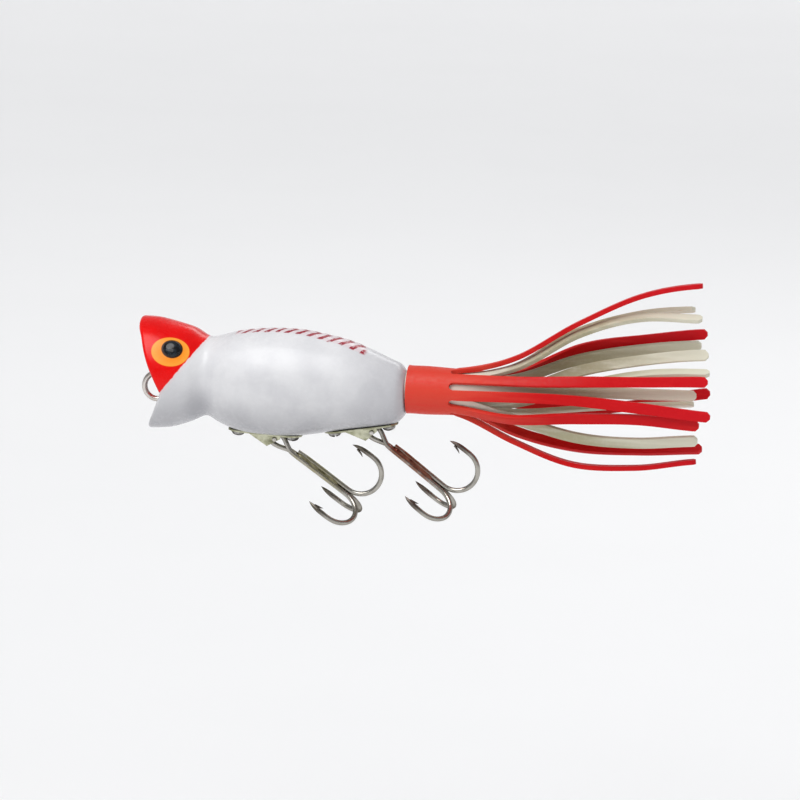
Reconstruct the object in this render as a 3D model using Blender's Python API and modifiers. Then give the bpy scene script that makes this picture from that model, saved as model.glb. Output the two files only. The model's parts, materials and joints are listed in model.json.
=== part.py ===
"""Topwater popper: a hollow two-half lure body with a cupped mouth, a screw eye, two belly hook
hangers with treble hooks, and a two-layer rubber skirt pushed over a stem at the tail.

Sizes below are millimetres; helpers turn them into metres. The origin is the centre of the line
tie's ring. +X runs to the tail, +Z is up, and the lure's left side faces -Y.
"""

import math

import bmesh
import bpy
from mathutils import Matrix, Vector

MM = 0.001
COLLECTION_NAME = "topwater_popper"

# Body
BODY_LENGTH = 58.0
BODY_HEIGHT = 23.6
BODY_WIDTH = 22.8
LIP_AHEAD = 3.6  # the upper lip's tip ahead of the line tie's ring centre
AXIS_RISE = 2.4  # the body's axis above the line tie
WALL = 2.2
SEAM_GAP = 0.04
# Each station: share of the length, then top, bottom and half width as shares of height and width
BODY_STATIONS = (
    (0.000, 0.547, 0.496, 0.491),
    (0.062, 0.542, 0.487, 0.487),
    (0.131, 0.508, 0.466, 0.469),
    (0.200, 0.462, 0.407, 0.421),
    (0.257, 0.390, 0.347, 0.368),
    (0.307, 0.411, 0.403, 0.417),
    (0.372, 0.456, 0.462, 0.469),
    (0.476, 0.492, 0.500, 0.500),
    (0.597, 0.498, 0.485, 0.496),
    (0.683, 0.470, 0.453, 0.469),
    (0.786, 0.419, 0.403, 0.425),
    (0.872, 0.343, 0.369, 0.373),
    (0.941, 0.271, 0.339, 0.325),
    (0.979, 0.233, 0.309, 0.289),
    (1.000, 0.178, 0.254, 0.232),
)
BODY_SIDES = 32
RINGS_PER_STATION = 2

# Mouth: the rim seen from the side, as shares of the length back and of the height above the axis
RIM_PROFILE = (
    (-0.010, 0.600),
    (0.002, 0.500),
    (0.019, 0.415),
    (0.036, 0.290),
    (0.056, 0.160),
    (0.080, 0.025),
    (0.102, -0.100),
    (0.085, -0.225),
    (0.064, -0.350),
    (0.032, -0.510),
    (0.010, -0.620),
)
RIM_WALL = 1.2
CUP_DEPTH = 8.8  # from the upper lip's tip to the bottom of the cup
CUP_SQUARENESS = 3.5

# Eyes, moulded as low domes
EYE_BACK = 0.138  # share of the length
EYE_SLOPE = 35.0  # degrees above the side of the head
EYE_RADIUS = 2.3
EYE_RISE = 0.55

# Line tie
TIE_WIRE = 1.2
TIE_RING = 7.0  # outside diameter
TIE_SHANK = 9.3  # wire behind the ring
TIE_CLEARANCE = 0.05
NOSE_BOSS = 5.0

# Locating pins of the seam
PIN_DIAMETER = 1.2
PIN_LENGTH = 1.2
PIN_CLEARANCE = 0.06
TOP_PINS = (0.32, 0.53, 0.78)  # shares of the length
BOTTOM_PIN = 0.408  # share of the way from the front hanger's last screw to the rear one's first

# Hook hangers: along the strap from the front screw, and below the seat
FRONT_HANGER_AT = 0.374  # front screws, as shares of the length
REAR_HANGER_AT = 0.738
SCREW_SPACING = 12.0
STRAP_THICKNESS = 0.4
STRAP_WIDTH = 6.0
STRAP_END = 2.2  # strap beyond each screw
SEAT_DEPTH = 0.25
FIT_GAP = 0.03
SCOOP_START = 2.3
SCOOP_TIP = (6.8, 3.0)
SCOOP_TAIL = (9.6, 1.2)
SCOOP_WIDTH = 3.8
SCOOP_NOTCH = 2.6  # a slot in the scoop's lip, which lets the hook hang straight down
SEAT_MARGIN = 1.1  # flat of the seat beyond the strap
SEAT_BLOCK = 4.4  # depth of the solid block under the seat
BLOCK_SHORT = 1.0  # the block stops this much sooner behind the rear screw than beside it
EYE_POCKET = 0.9
HINGE_AT = (8.35, 1.35)
HINGE_PIN = 1.0
HINGE_PIN_CLEARANCE = 0.05
HINGE_PIN_PROUD = 0.25

# Screws
SCREW_HEAD = 2.9
SCREW_HEAD_HEIGHT = 1.2
SCREW_SHANK = 1.9
SCREW_LENGTH = 3.5
SCREW_SLOT = 0.45
SCREW_CLEARANCE = 0.05
SCREW_ROOM = 0.2  # around the screw in the strap
SCREW_WALL = 1.65  # block around the screw

# Treble hooks
HOOK_WIRE = 1.1
HOOK_EYE = 3.7  # outside diameter of the eye
HOOK_WIRE_GAP = 0.04
SHANK_END = 19.4
HOOK_GAPE = 9.8  # between the centres of shank and point
POINT_AT = 14.2  # the point's distance from the hinge pin, along the shank
HOOK_SIDE_ROOM = 0.3
EYE_NECK = 4.5  # where the eye's two legs meet
FRONT_SHANK_ANGLE = 34.8  # below the horizontal
REAR_SHANK_ANGLE = 37.0

# Skirt
POST_DIAMETER = 6.0
POST_LENGTH = 7.0  # outside the body
POST_FLANGE = 7.4
POST_FLANGE_THICKNESS = 2.0
POST_NECK = 5.2
POST_CLEARANCE = 0.05
POST_BOSS_WALL = 1.6
TAIL_WALL = 2.4
INNER_THICKNESS = 0.9
OUTER_THICKNESS = 1.0
LAYER_GAP = 0.2
SLEEVE_LENGTH = 11.0
INNER_LEAD = 0.3  # inner sleeve showing ahead of the outer one
SLEEVE_OFF_BODY = 0.4
STRAND_COUNT = 8
OUTER_SLIT = 1.5
INNER_SLIT = 0.55
STRAND_PHASE = 1.5  # degrees of the first outer strand above the lure's left side
STRAND_ROWS = 16
STRAND_TIP = 0.6  # the tip's width as a share of the strand's
# Each strand: its length back from the slits, its twist in degrees, then how far it is to the
# right of and above the skirt's axis at each quarter of that length
OUTER_STRANDS = (
    (55.8, 0, (-5.7, 0.7), (-6.6, 1.3), (-7.2, 0.7), (-7.6, -0.5)),
    (54.9, 35, (-5.1, 4.0), (-6.0, 4.8), (-6.3, 5.5), (-6.4, 6.4)),
    (52.7, 0, (-0.8, 8.4), (-1.6, 16.6), (-2.1, 23.5), (-2.6, 26.4)),
    (53.5, -45, (5.3, 4.0), (5.9, 9.9), (6.1, 12.6), (6.2, 14.6)),
    (54.5, 0, (6.1, -3.1), (7.0, -3.5), (7.4, -1.7), (7.6, 1.3)),
    (53.6, 0, (3.8, -8.8), (3.4, -11.3), (3.0, -11.1), (2.8, -9.9)),
    (52.7, 0, (-0.4, -10.1), (-0.8, -14.4), (-1.0, -14.2), (-1.2, -12.0)),
    (53.4, -40, (-5.4, -4.7), (-5.9, -3.8), (-6.2, -3.0), (-6.2, -3.6)),
)
INNER_STRANDS = (
    (52.4, 0, (-3.5, 1.8), (-3.7, 2.4), (-4.0, 2.6), (-4.2, 2.8)),
    (52.9, 0, (-1.1, 6.5), (-2.0, 14.4), (-2.4, 18.8), (-2.8, 19.4)),
    (51.0, 0, (1.7, 6.1), (2.0, 14.2), (1.8, 18.8), (1.5, 20.5)),
    (52.5, 0, (3.5, 2.9), (3.6, 7.9), (3.4, 10.8), (3.2, 12.5)),
    (54.4, 0, (1.7, 0.6), (0.6, 6.2), (-0.2, 9.3), (-0.6, 11.1)),
    (54.9, 0, (0.2, -1.8), (-1.3, 3.2), (-1.9, 6.4), (-2.2, 7.6)),
    (51.7, 0, (-0.2, -3.6), (-0.5, -2.3), (-0.6, -0.7), (-0.6, 0.4)),
    (53.0, 0, (-3.2, -4.7), (-3.2, -7.8), (-3.2, -8.2), (-3.2, -7.2)),
)


def clear_scene():
    for obj in list(bpy.data.objects):
        bpy.data.objects.remove(obj, do_unlink=True)


def new_collection(name, parent=None):
    collection = bpy.data.collections.new(name)
    (parent or bpy.context.scene.collection).children.link(collection)
    return collection


def material(name, colour, roughness, metallic=0.0):
    made = bpy.data.materials.new(name)
    made.use_nodes = True
    shader = made.node_tree.nodes["Principled BSDF"]
    shader.inputs["Base Color"].default_value = (*colour, 1.0)
    shader.inputs["Roughness"].default_value = roughness
    shader.inputs["Metallic"].default_value = metallic
    made.diffuse_color = (*colour, 1.0)
    return made


clear_scene()
PARTS = new_collection(COLLECTION_NAME)
CUTTERS = new_collection("cutters")
BODY_BOSSES = new_collection("body_bosses", CUTTERS)
BODY_CUTS = new_collection("body_cuts", CUTTERS)


# ---------------------------------------------------------------- helpers


def link(obj, collection, parent=None):
    collection.objects.link(obj)
    obj.parent = parent
    if collection is not PARTS:
        obj.hide_render = True
        obj.display_type = "WIRE"
    return obj


def mesh_from(name, points, faces, collection, parent=None, surface=None, closed=True):
    """A mesh object from points in millimetres; a closed one gets its faces turned outwards."""
    mesh = bpy.data.meshes.new(name)
    mesh.from_pydata([Vector(point) * MM for point in points], [], faces)
    shape = bmesh.new()
    shape.from_mesh(mesh)
    if closed:
        bmesh.ops.recalc_face_normals(shape, faces=shape.faces[:])
    shape.to_mesh(mesh)
    shape.free()
    if surface:
        mesh.materials.append(surface)
    return link(bpy.data.objects.new(name, mesh), collection, parent)


def loft(name, rings, collection, **options):
    """A closed skin over rings of matching points, with flat ends."""
    count = len(rings[0])
    points = [point for ring in rings for point in ring]
    faces = [tuple(range(count)), tuple(range(len(points) - count, len(points)))]
    for row in range(len(rings) - 1):
        for side in range(count):
            following = (side + 1) % count
            near, far = row * count, (row + 1) * count
            faces.append((near + side, near + following, far + following, far + side))
    return mesh_from(name, points, faces, collection, **options)


def prism(name, outline, half_width, collection, **options):
    """An outline in x and z, stretched across y."""
    rings = [[(x, y, z) for x, z in outline] for y in (-half_width, half_width)]
    return loft(name, rings, collection, **options)


def box(name, low, high, collection, **options):
    outline = ((low[0], low[2]), (high[0], low[2]), (high[0], high[2]), (low[0], high[2]))
    rings = [[(x, y, z) for x, z in outline] for y in (low[1], high[1])]
    return loft(name, rings, collection, **options)


def rod(name, start, end, diameter, collection, sides=20, **options):
    """A round bar from start to end."""
    axis = Vector(end) - Vector(start)
    turn = Vector((0, 0, 1)).rotation_difference(axis)
    rings = []
    for base in (Vector(start), Vector(end)):
        ring = []
        for side in range(sides):
            angle = math.tau * (side + 0.5) / sides
            offset = Vector((math.cos(angle), math.sin(angle), 0)) * diameter / 2
            ring.append(base + turn @ offset)
        rings.append(ring)
    return loft(name, rings, collection, **options)


def turned(name, profile, collection, parent=None, surface=None, sides=24):
    """A profile of (radius, height) points, outer side top to bottom, spun about local Z."""
    mesh = bpy.data.meshes.new(name)
    points = [Vector((radius, 0, height)) * MM for radius, height in profile]
    mesh.from_pydata(points, [(i, i + 1) for i in range(len(points) - 1)], [])
    if surface:
        mesh.materials.append(surface)
    obj = link(bpy.data.objects.new(name, mesh), collection, parent)
    spin = obj.modifiers.new("spin", "SCREW")
    spin.steps = sides
    spin.render_steps = sides
    spin.use_merge_vertices = True
    spin.merge_threshold = 0.00001
    return obj


def wire(name, points, diameter, surface, parent=None, radii=None):
    """A round wire through points in millimetres; radii are shares of the full radius."""
    curve = bpy.data.curves.new(name, "CURVE")
    curve.dimensions = "3D"
    curve.bevel_depth = diameter / 2 * MM
    curve.bevel_resolution = 2
    curve.use_fill_caps = True
    spline = curve.splines.new("POLY")
    spline.points.add(len(points) - 1)
    for index, point in enumerate(points):
        spline.points[index].co = (*(Vector(point) * MM), 1.0)
        spline.points[index].radius = radii[index] if radii else 1.0
    curve.materials.append(surface)
    return link(bpy.data.objects.new(name, curve), PARTS, parent)


def boolean(obj, operation, other):
    step = obj.modifiers.new(operation.lower(), "BOOLEAN")
    step.operation = operation
    step.solver = "EXACT"
    if isinstance(other, bpy.types.Collection):
        step.operand_type = "COLLECTION"
        step.collection = other
    else:
        step.object = other


def smooth(low, high, value):
    share = min(max((value - low) / (high - low), 0.0), 1.0)
    return share * share * (3 - 2 * share)


def curve_through(values, share):
    """A smooth value through evenly numbered values (Catmull-Rom), at share 0 to 1 of them."""
    place = share * (len(values) - 1)
    index = min(int(place), len(values) - 2)
    t = place - index
    before = values[max(index - 1, 0)]
    start, end = values[index], values[index + 1]
    after = values[min(index + 2, len(values) - 1)]
    slope_in, slope_out = (end - before) / 2, (after - start) / 2
    return (
        (2 * t**3 - 3 * t**2 + 1) * start
        + (t**3 - 2 * t**2 + t) * slope_in
        + (3 * t**2 - 2 * t**3) * end
        + (t**3 - t**2) * slope_out
    )


# ---------------------------------------------------------------- body outline


def body_x(share):
    return share * BODY_LENGTH - LIP_AHEAD


def body_section(place):
    """x, top, bottom and half width of the body, place running 0 to 1 over the stations."""
    share, top, bottom, half = (
        curve_through([station[column] for station in BODY_STATIONS], place)
        for column in range(4)
    )
    return (
        body_x(share),
        AXIS_RISE + top * BODY_HEIGHT,
        AXIS_RISE - bottom * BODY_HEIGHT,
        half * BODY_WIDTH,
    )


def section_at(x):
    """The body's section at a given x."""
    low, high = 0.0, 1.0
    for _ in range(40):
        middle = (low + high) / 2
        if body_section(middle)[0] < x:
            low = middle
        else:
            high = middle
    return body_section(low)


def belly(x):
    return section_at(x)[2]


def back(x):
    return section_at(x)[1]


def section_ring(x, top, bottom, half, inset=0.0, sides=BODY_SIDES, scale=1.0):
    middle, rise = (top + bottom) / 2, (top - bottom) / 2
    ring = []
    for side in range(sides):
        angle = math.tau * side / sides
        y = (half - inset) * scale * math.cos(angle)
        z = middle + (rise - inset) * scale * math.sin(angle)
        ring.append((x, y, z))
    return ring


TAIL_X = body_x(1.0)
CUP_X = CUP_DEPTH - LIP_AHEAD
POST_SEAT_X = TAIL_X - TAIL_WALL


def body_skin(name, collection, surface=None):
    steps = RINGS_PER_STATION * (len(BODY_STATIONS) - 1)
    rings = [section_ring(*body_section(step / steps)) for step in range(steps + 1)]
    return loft(name, rings, collection, surface=surface)


def cavity_skin():
    front, rear = CUP_X + WALL, POST_SEAT_X - POST_FLANGE_THICKNESS
    rings = []
    for step in range(17):
        x = front + (rear - front) * step / 16
        _, top, bottom, half = section_at(x)
        rings.append(section_ring(x, top, bottom, half, WALL, 24))
    return loft("body_cavity", rings, CUTTERS)


def cup_skin():
    """The mouth's hollow: the body's own outline, a rim wall smaller, closing to a rounded bottom."""
    rings = []
    for step in range(15):
        x = -LIP_AHEAD * 1.8 + (CUP_X + LIP_AHEAD * 1.8) * smooth(0, 1, step / 14) ** 0.75
        back_share = max((x + LIP_AHEAD) / CUP_DEPTH, 0.0)
        scale = max(1 - back_share**CUP_SQUARENESS, 0.02) ** (1 / CUP_SQUARENESS)
        _, top, bottom, half = section_at(max(x, -LIP_AHEAD))
        rings.append(section_ring(x, top, bottom, half, RIM_WALL, BODY_SIDES, scale))
    return loft("mouth_cup", rings, BODY_CUTS)


def rim_prism():
    """Everything ahead of the mouth's rim."""
    outline = [(body_x(along), AXIS_RISE + up * BODY_HEIGHT) for along, up in RIM_PROFILE]
    ahead = body_x(-0.3)  # well clear of the body
    outline += [(ahead, outline[-1][1]), (ahead, outline[0][1])]
    return prism("mouth_rim", outline, BODY_WIDTH, BODY_CUTS)


def eye_dome(side):
    x = body_x(EYE_BACK)
    _, top, bottom, half = section_at(x)
    angle = math.radians(EYE_SLOPE)
    rise = (top - bottom) / 2
    place = Vector((x, side * half * math.cos(angle), (top + bottom) / 2 + rise * math.sin(angle)))
    facing = Vector((0.15, side * math.cos(angle) / half * rise, math.sin(angle))).normalized()
    mesh = bpy.data.meshes.new("eye_dome")
    shape = bmesh.new()
    bmesh.ops.create_uvsphere(shape, u_segments=16, v_segments=8, radius=EYE_RADIUS * MM)
    bmesh.ops.scale(shape, vec=(1, 1, EYE_RISE / EYE_RADIUS), verts=shape.verts[:])
    shape.to_mesh(mesh)
    shape.free()
    dome = link(bpy.data.objects.new("eye_dome", mesh), BODY_BOSSES)
    dome.location = place * MM
    dome.rotation_mode = "QUATERNION"
    dome.rotation_quaternion = Vector((0, 0, 1)).rotation_difference(facing)


def seam_pins():
    """Centres of the locating pins, in the middle of the wall."""
    for share in TOP_PINS:
        yield body_x(share), back(body_x(share)) - WALL / 2
    last, first = body_x(FRONT_HANGER_AT) + SCREW_SPACING, body_x(REAR_HANGER_AT)
    x = last + (first - last) * BOTTOM_PIN
    yield x, belly(x) + WALL / 2


def body_bosses_and_cuts():
    axis = AXIS_RISE
    hole = TIE_WIRE + 2 * TIE_CLEARANCE
    shank_end = TIE_RING / 2 + TIE_SHANK
    rod("nose_boss", (CUP_X - 0.8, 0, 0), (shank_end + 1.2, 0, 0), NOSE_BOSS, BODY_BOSSES)
    rod("tie_hole", (0, 0, 0), (shank_end + 0.2, 0, 0), hole, BODY_CUTS)
    boss = POST_FLANGE + 2 * POST_BOSS_WALL
    front = POST_SEAT_X - POST_FLANGE_THICKNESS - POST_BOSS_WALL
    rod("post_boss", (front, 0, axis), (TAIL_X - 0.8, 0, axis), boss, BODY_BOSSES, 28)
    flange_front = POST_SEAT_X - POST_FLANGE_THICKNESS - POST_CLEARANCE
    flange_rear = POST_SEAT_X + POST_CLEARANCE
    flange = POST_FLANGE + 2 * POST_CLEARANCE
    rod("post_pocket", (flange_front, 0, axis), (flange_rear, 0, axis), flange, BODY_CUTS, 28)
    neck = POST_NECK + 2 * POST_CLEARANCE
    rod("post_hole", (POST_SEAT_X - 0.5, 0, axis), (TAIL_X + 2, 0, axis), neck, BODY_CUTS, 28)
    for side in (-1, 1):
        eye_dome(side)


def body_half(name, side, surface, cavity):
    half = body_skin(name, PARTS, surface)
    boolean(half, "DIFFERENCE", cavity)
    boolean(half, "UNION", BODY_BOSSES)
    boolean(half, "DIFFERENCE", BODY_CUTS)
    reach = BODY_LENGTH * 1.5
    seam, far = side * SEAM_GAP / 2, -side * reach
    other_half = box(name + "_other_side", (-reach, seam, -reach), (reach, far, reach), CUTTERS)
    boolean(half, "DIFFERENCE", other_half)
    for number, (x, z) in enumerate(seam_pins()):
        if side < 0:
            ends = (x, -PIN_LENGTH, z), (x, PIN_LENGTH, z)
            boolean(half, "UNION", rod(f"seam_pin_{number}", *ends, PIN_DIAMETER, CUTTERS, 12))
        else:
            ends = (x, -1, z), (x, PIN_LENGTH + PIN_CLEARANCE, z)
            width = PIN_DIAMETER + 2 * PIN_CLEARANCE
            boolean(half, "DIFFERENCE", rod(f"seam_socket_{number}", *ends, width, CUTTERS, 12))
    return half


# ---------------------------------------------------------------- line tie and skirt post


def line_tie(surface):
    """A screw eye: the shank runs forward into the ring, which turns almost all the way round."""
    radius = (TIE_RING - TIE_WIRE) / 2
    start = math.degrees(TIE_WIRE * 1.25 / radius)
    points = [(TIE_RING / 2 + TIE_SHANK, 0, 0), (radius * 1.75, 0, 0), (radius * 1.38, 0, radius * 0.05)]
    turn = 360 - 1.7 * start
    steps = 22
    for step in range(steps + 1):
        angle = math.radians(start * 0.75 + turn * step / steps)
        points.append((radius * math.cos(angle), 0, radius * math.sin(angle)))
    wire("line_tie", points, TIE_WIRE, surface)


def skirt_post(surface):
    """A moulded stem: a flange inside the body, a neck through its tail, and a barrel outside."""
    outside = POST_SEAT_X + TAIL_WALL + POST_CLEARANCE
    barrel = POST_DIAMETER / 2
    neck = POST_NECK / 2
    flange = POST_FLANGE / 2
    end = POST_LENGTH
    step = POST_SEAT_X - outside
    profile = (
        (0.0, end),
        (barrel * 0.55, end - 0.1),
        (barrel * 0.85, end - 0.6),
        (barrel, end - 1.5),
        (barrel, 0.0),
        (neck, 0.0),
        (neck, step),
        (flange, step),
        (flange, step - POST_FLANGE_THICKNESS),
        (0.0, step - POST_FLANGE_THICKNESS),
    )
    post = turned("skirt_post", profile, PARTS, surface=surface)
    post.location = Vector((outside, 0, AXIS_RISE)) * MM
    post.rotation_euler = (0, math.pi / 2, 0)


# ---------------------------------------------------------------- hangers


def slotted_screw(name, at, slot_angle, seat, surface):
    """A round-head screw whose head rests on the strap; local Z points into the body."""
    top = STRAP_THICKNESS + 2 * FIT_GAP
    head, shank = SCREW_HEAD / 2, SCREW_SHANK / 2
    crown = top + SCREW_HEAD_HEIGHT
    profile = (
        (0.0, SCREW_LENGTH),
        (shank * 0.5, SCREW_LENGTH - 0.3),
        (shank, SCREW_LENGTH - 1.2),
        (shank, -top),
        (head, -top),
        (head, -top - 0.25),
        (head * 0.9, -crown + 0.5),
        (head * 0.6, -crown + 0.15),
        (0.0, -crown),
    )
    screw = turned(name, profile, PARTS, seat, surface, 16)
    screw.location = Vector((at, 0, 0)) * MM
    slot = box(
        name + "_slot",
        (-SCREW_HEAD, -SCREW_SLOT / 2, -crown - 1),
        (SCREW_HEAD, SCREW_SLOT / 2, -crown + SCREW_SLOT),
        CUTTERS,
        parent=seat,
    )
    slot.location = screw.location
    slot.rotation_euler = (0, 0, math.radians(slot_angle))
    boolean(screw, "DIFFERENCE", slot)


def strap_outline(corners=5):
    """The strap's plan: a bar with round ends."""
    half = STRAP_WIDTH / 2
    ends = ((SCREW_SPACING + STRAP_END - half, -90), (half - STRAP_END, 90))
    for centre, first in ends:
        for step in range(corners + 1):
            angle = math.radians(first + 180 * step / corners)
            yield centre + half * math.cos(angle), half * math.sin(angle)


def hanger(name, seat, surface):
    """A stamped strap with a hook scoop: a sloping roof and two cheeks, open to the rear."""
    near, far = -FIT_GAP, -FIT_GAP - STRAP_THICKNESS
    plan = list(strap_outline())
    rings = [[(x, y, z) for x, y in plan] for z in (near, far)]
    strap = loft(name, rings, PARTS, parent=seat, surface=surface)
    (tip_x, tip_down), (tail_x, tail_down) = SCOOP_TIP, SCOOP_TAIL
    outer = (
        (SCOOP_START, near),
        (SCOOP_START, far),
        (tip_x, -tip_down),
        (tail_x, -tail_down),
        (tail_x, near),
    )
    slope = math.hypot(tip_x - SCOOP_START, tip_down + far)
    shift = STRAP_THICKNESS * slope / (tip_down + far)
    slot_end = SCREW_SPACING - SCREW_HEAD / 2 - 0.1
    inner = (
        (SCOOP_START, 1.0),
        (SCOOP_START + shift, far),
        (tip_x + shift, -tip_down),
        (tail_x + 3, -tip_down),
        (tail_x + 3, far - 0.001),
        (slot_end, far - 0.001),
        (slot_end, 1.0),
    )
    scoop = prism(name + "_scoop", outer, SCOOP_WIDTH / 2, CUTTERS, parent=seat)
    hollow_half = SCOOP_WIDTH / 2 - STRAP_THICKNESS
    hollow = prism(name + "_hollow", inner, hollow_half, CUTTERS, parent=seat)
    notch_half = HOOK_WIRE / 2 + HOOK_SIDE_ROOM
    notch_low = (tip_x - SCOOP_NOTCH, -notch_half, -tip_down - 1)
    notch_high = (tip_x + 1, notch_half, far)
    notch = box(name + "_notch", notch_low, notch_high, CUTTERS, parent=seat)
    boolean(strap, "UNION", scoop)
    boolean(strap, "DIFFERENCE", hollow)
    boolean(strap, "DIFFERENCE", notch)
    for number, at in enumerate((0.0, SCREW_SPACING)):
        width = SCREW_SHANK + 2 * SCREW_ROOM
        hole = rod(f"{name}_hole_{number}", (at, 0, -2), (at, 0, 2), width, CUTTERS, 16, parent=seat)
        boolean(strap, "DIFFERENCE", hole)
    hinge_x, hinge_down = HINGE_AT
    bore = HINGE_PIN + 2 * HINGE_PIN_CLEARANCE
    ends = (hinge_x, -SCOOP_WIDTH, -hinge_down), (hinge_x, SCOOP_WIDTH, -hinge_down)
    cross_hole = rod(name + "_pin_hole", *ends, bore, CUTTERS, 16, parent=seat)
    boolean(strap, "DIFFERENCE", cross_hole)


def seat_cuts(name, seat):
    """What a hanger needs in the body: a flat seat on a solid block, screw holes, an eye pocket."""
    end = STRAP_END + SEAT_MARGIN
    side = STRAP_WIDTH / 2 + SEAT_MARGIN
    box(name + "_seat", (-end, -side, -side), (SCREW_SPACING + end, side, 0), BODY_CUTS, parent=seat)
    side = SCREW_SHANK / 2 + SCREW_WALL
    end = SCREW_SPACING + side - BLOCK_SHORT
    box(name + "_block", (-STRAP_END, -side, 0), (end, side, SEAT_BLOCK), BODY_BOSSES, parent=seat)
    for number, at in enumerate((0.0, SCREW_SPACING)):
        width = SCREW_SHANK + 2 * SCREW_CLEARANCE
        ends = (at, 0, -2), (at, 0, SCREW_LENGTH + 0.2)
        rod(f"{name}_screw_hole_{number}", *ends, width, BODY_CUTS, 16, parent=seat)
    hinge_x, _ = HINGE_AT
    reach = HOOK_EYE / 2 + HOOK_SIDE_ROOM
    side = HOOK_WIRE / 2 + HOOK_SIDE_ROOM
    low, high = (hinge_x - reach, -side, -1), (hinge_x + reach, side, EYE_POCKET)
    box(name + "_eye_pocket", low, high, BODY_CUTS, parent=seat)


def hanger_set(prefix, share, shank_angle, slot_angles, surfaces):
    """One hanger with its pin, screws, seat and treble; its seat empty has +X along the strap."""
    x = body_x(share)
    front = Vector((x, 0, belly(x) + SEAT_DEPTH))
    rear = Vector((x + SCREW_SPACING, 0, belly(x + SCREW_SPACING) + SEAT_DEPTH))
    tilt = math.atan2(front.z - rear.z, rear.x - front.x)
    seat = bpy.data.objects.new(prefix + "_hanger_seat", None)
    PARTS.objects.link(seat)
    seat.location = front * MM
    seat.rotation_euler = (0, tilt, 0)
    name = prefix + "_hanger"
    hanger(name, seat, surfaces["strap"])
    seat_cuts(name, seat)
    hinge_x, hinge_down = HINGE_AT
    half = SCOOP_WIDTH / 2 + HINGE_PIN_PROUD
    ends = (0, -half, 0), (0, half, 0)
    pin = rod(name + "_pin", *ends, HINGE_PIN, PARTS, 16, parent=seat, surface=surfaces["pin"])
    pin.location = Vector((hinge_x, 0, -hinge_down)) * MM
    places = ((0.0, "front"), (SCREW_SPACING, "rear"))
    for (at, end), slot_angle in zip(places, slot_angles):
        slotted_screw(f"{name}_screw_{end}", at, slot_angle, seat, surfaces["screw"])
    pivot = bpy.data.objects.new(prefix + "_treble_pivot", None)
    PARTS.objects.link(pivot)
    pivot.parent = seat
    pivot.location = pin.location
    pivot.rotation_euler = (0, math.radians(shank_angle) - tilt, 0)
    treble(prefix + "_treble", pivot, surfaces["hook"])


# ---------------------------------------------------------------- treble hooks


def hook_points(direction, shank_offset):
    """Shank end, round bend and point of one hook, lying towards direction (y, up) from the shank."""
    side, up = direction
    radius = (HOOK_GAPE - shank_offset) / 2
    centre = shank_offset + radius
    points = []
    bend_steps = 9
    for step in range(bend_steps + 1):
        angle = math.pi * step / bend_steps
        along = SHANK_END + radius * math.sin(angle)
        out = centre - radius * math.cos(angle)
        points.append((along, side * out, up * out))
    for share, inward in ((0.45, 0.05), (0.8, 0.28), (1.0, 0.6)):
        along = SHANK_END + (POINT_AT - SHANK_END) * share
        out = HOOK_GAPE - inward
        points.append((along, side * out, up * out))
    return points


def treble(name, pivot, surface):
    """A double hook whose wire also makes the eye, and a single hook laid along its shank."""
    pitch = (HOOK_WIRE + HOOK_WIRE_GAP) / math.sqrt(3)
    eye = (HOOK_EYE - HOOK_WIRE) / 2
    taper = [1.0] * 10 + [0.95, 0.6, 0.12]

    single = [(EYE_NECK + 1.2, 0, pitch), (SHANK_END - 4, 0, pitch)] + hook_points((0, 1), pitch)
    wire(name + "_single", single, HOOK_WIRE, surface, pivot, [0.7, 1.0] + taper)

    legs = {}
    for side in (-1, 1):
        angle = math.radians(120)
        direction = (side * math.sin(angle), math.cos(angle))
        hook = hook_points(direction, pitch)
        leg_side, leg_up = direction[0] * pitch, direction[1] * pitch
        shank = [(SHANK_END - 4, leg_side, leg_up), (EYE_NECK + 0.6, leg_side, leg_up)]
        neck = []
        for step in range(1, 5):
            share = smooth(0, 1, step / 4)
            along = EYE_NECK + 0.6 + (0.35 - EYE_NECK - 0.6) * step / 4
            up = leg_up + (-side * eye - leg_up) * share
            neck.append((along, leg_side * (1 - share), up))
        legs[side] = hook[::-1] + shank + neck
    arc = []
    for step in range(1, 8):
        angle = math.pi * step / 8
        arc.append((-eye * math.sin(angle), 0, eye * math.cos(angle)))
    points = legs[-1] + arc + legs[1][::-1]
    plain = [1.0] * (len(points) - 2 * len(taper))
    wire(name + "_double", points, HOOK_WIRE, surface, pivot, taper[::-1] + plain + taper)


# ---------------------------------------------------------------- skirt


def strand_line(angle, radius, start_x, length, quarters):
    """Centre of one strand at share t of its length, as a function."""
    ys = [-radius * math.cos(angle)] + [y for y, _ in quarters]
    zs = [radius * math.sin(angle)] + [z for _, z in quarters]

    def place(t):
        return Vector((start_x + length * t, curve_through(ys, t), AXIS_RISE + curve_through(zs, t)))

    return place


def strand_rows(angle, radius, half_width, start_x, strand):
    """Rows of three points across one strand, from just behind the slits to its tip."""
    length, twist, *quarters = strand
    place = strand_line(angle, radius, start_x, length, quarters)
    around = Vector((0, math.sin(angle), math.cos(angle)))
    sag = half_width**2 / (2 * radius)
    for row in range(1, STRAND_ROWS + 1):
        t = row / STRAND_ROWS
        along = (place(min(t + 0.01, 1)) - place(max(t - 0.01, 0))).normalized()
        across = (around - along * around.dot(along)).normalized()
        across = Matrix.Rotation(math.radians(twist) * smooth(0.05, 0.75, t), 3, along) @ across
        outward = along.cross(across)
        half = half_width * (STRAND_TIP if row == STRAND_ROWS else 1.0)
        yield [place(t) + across * half * c - outward * sag * (1 - t) * abs(c) for c in (-1, 0, 1)]


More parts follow.
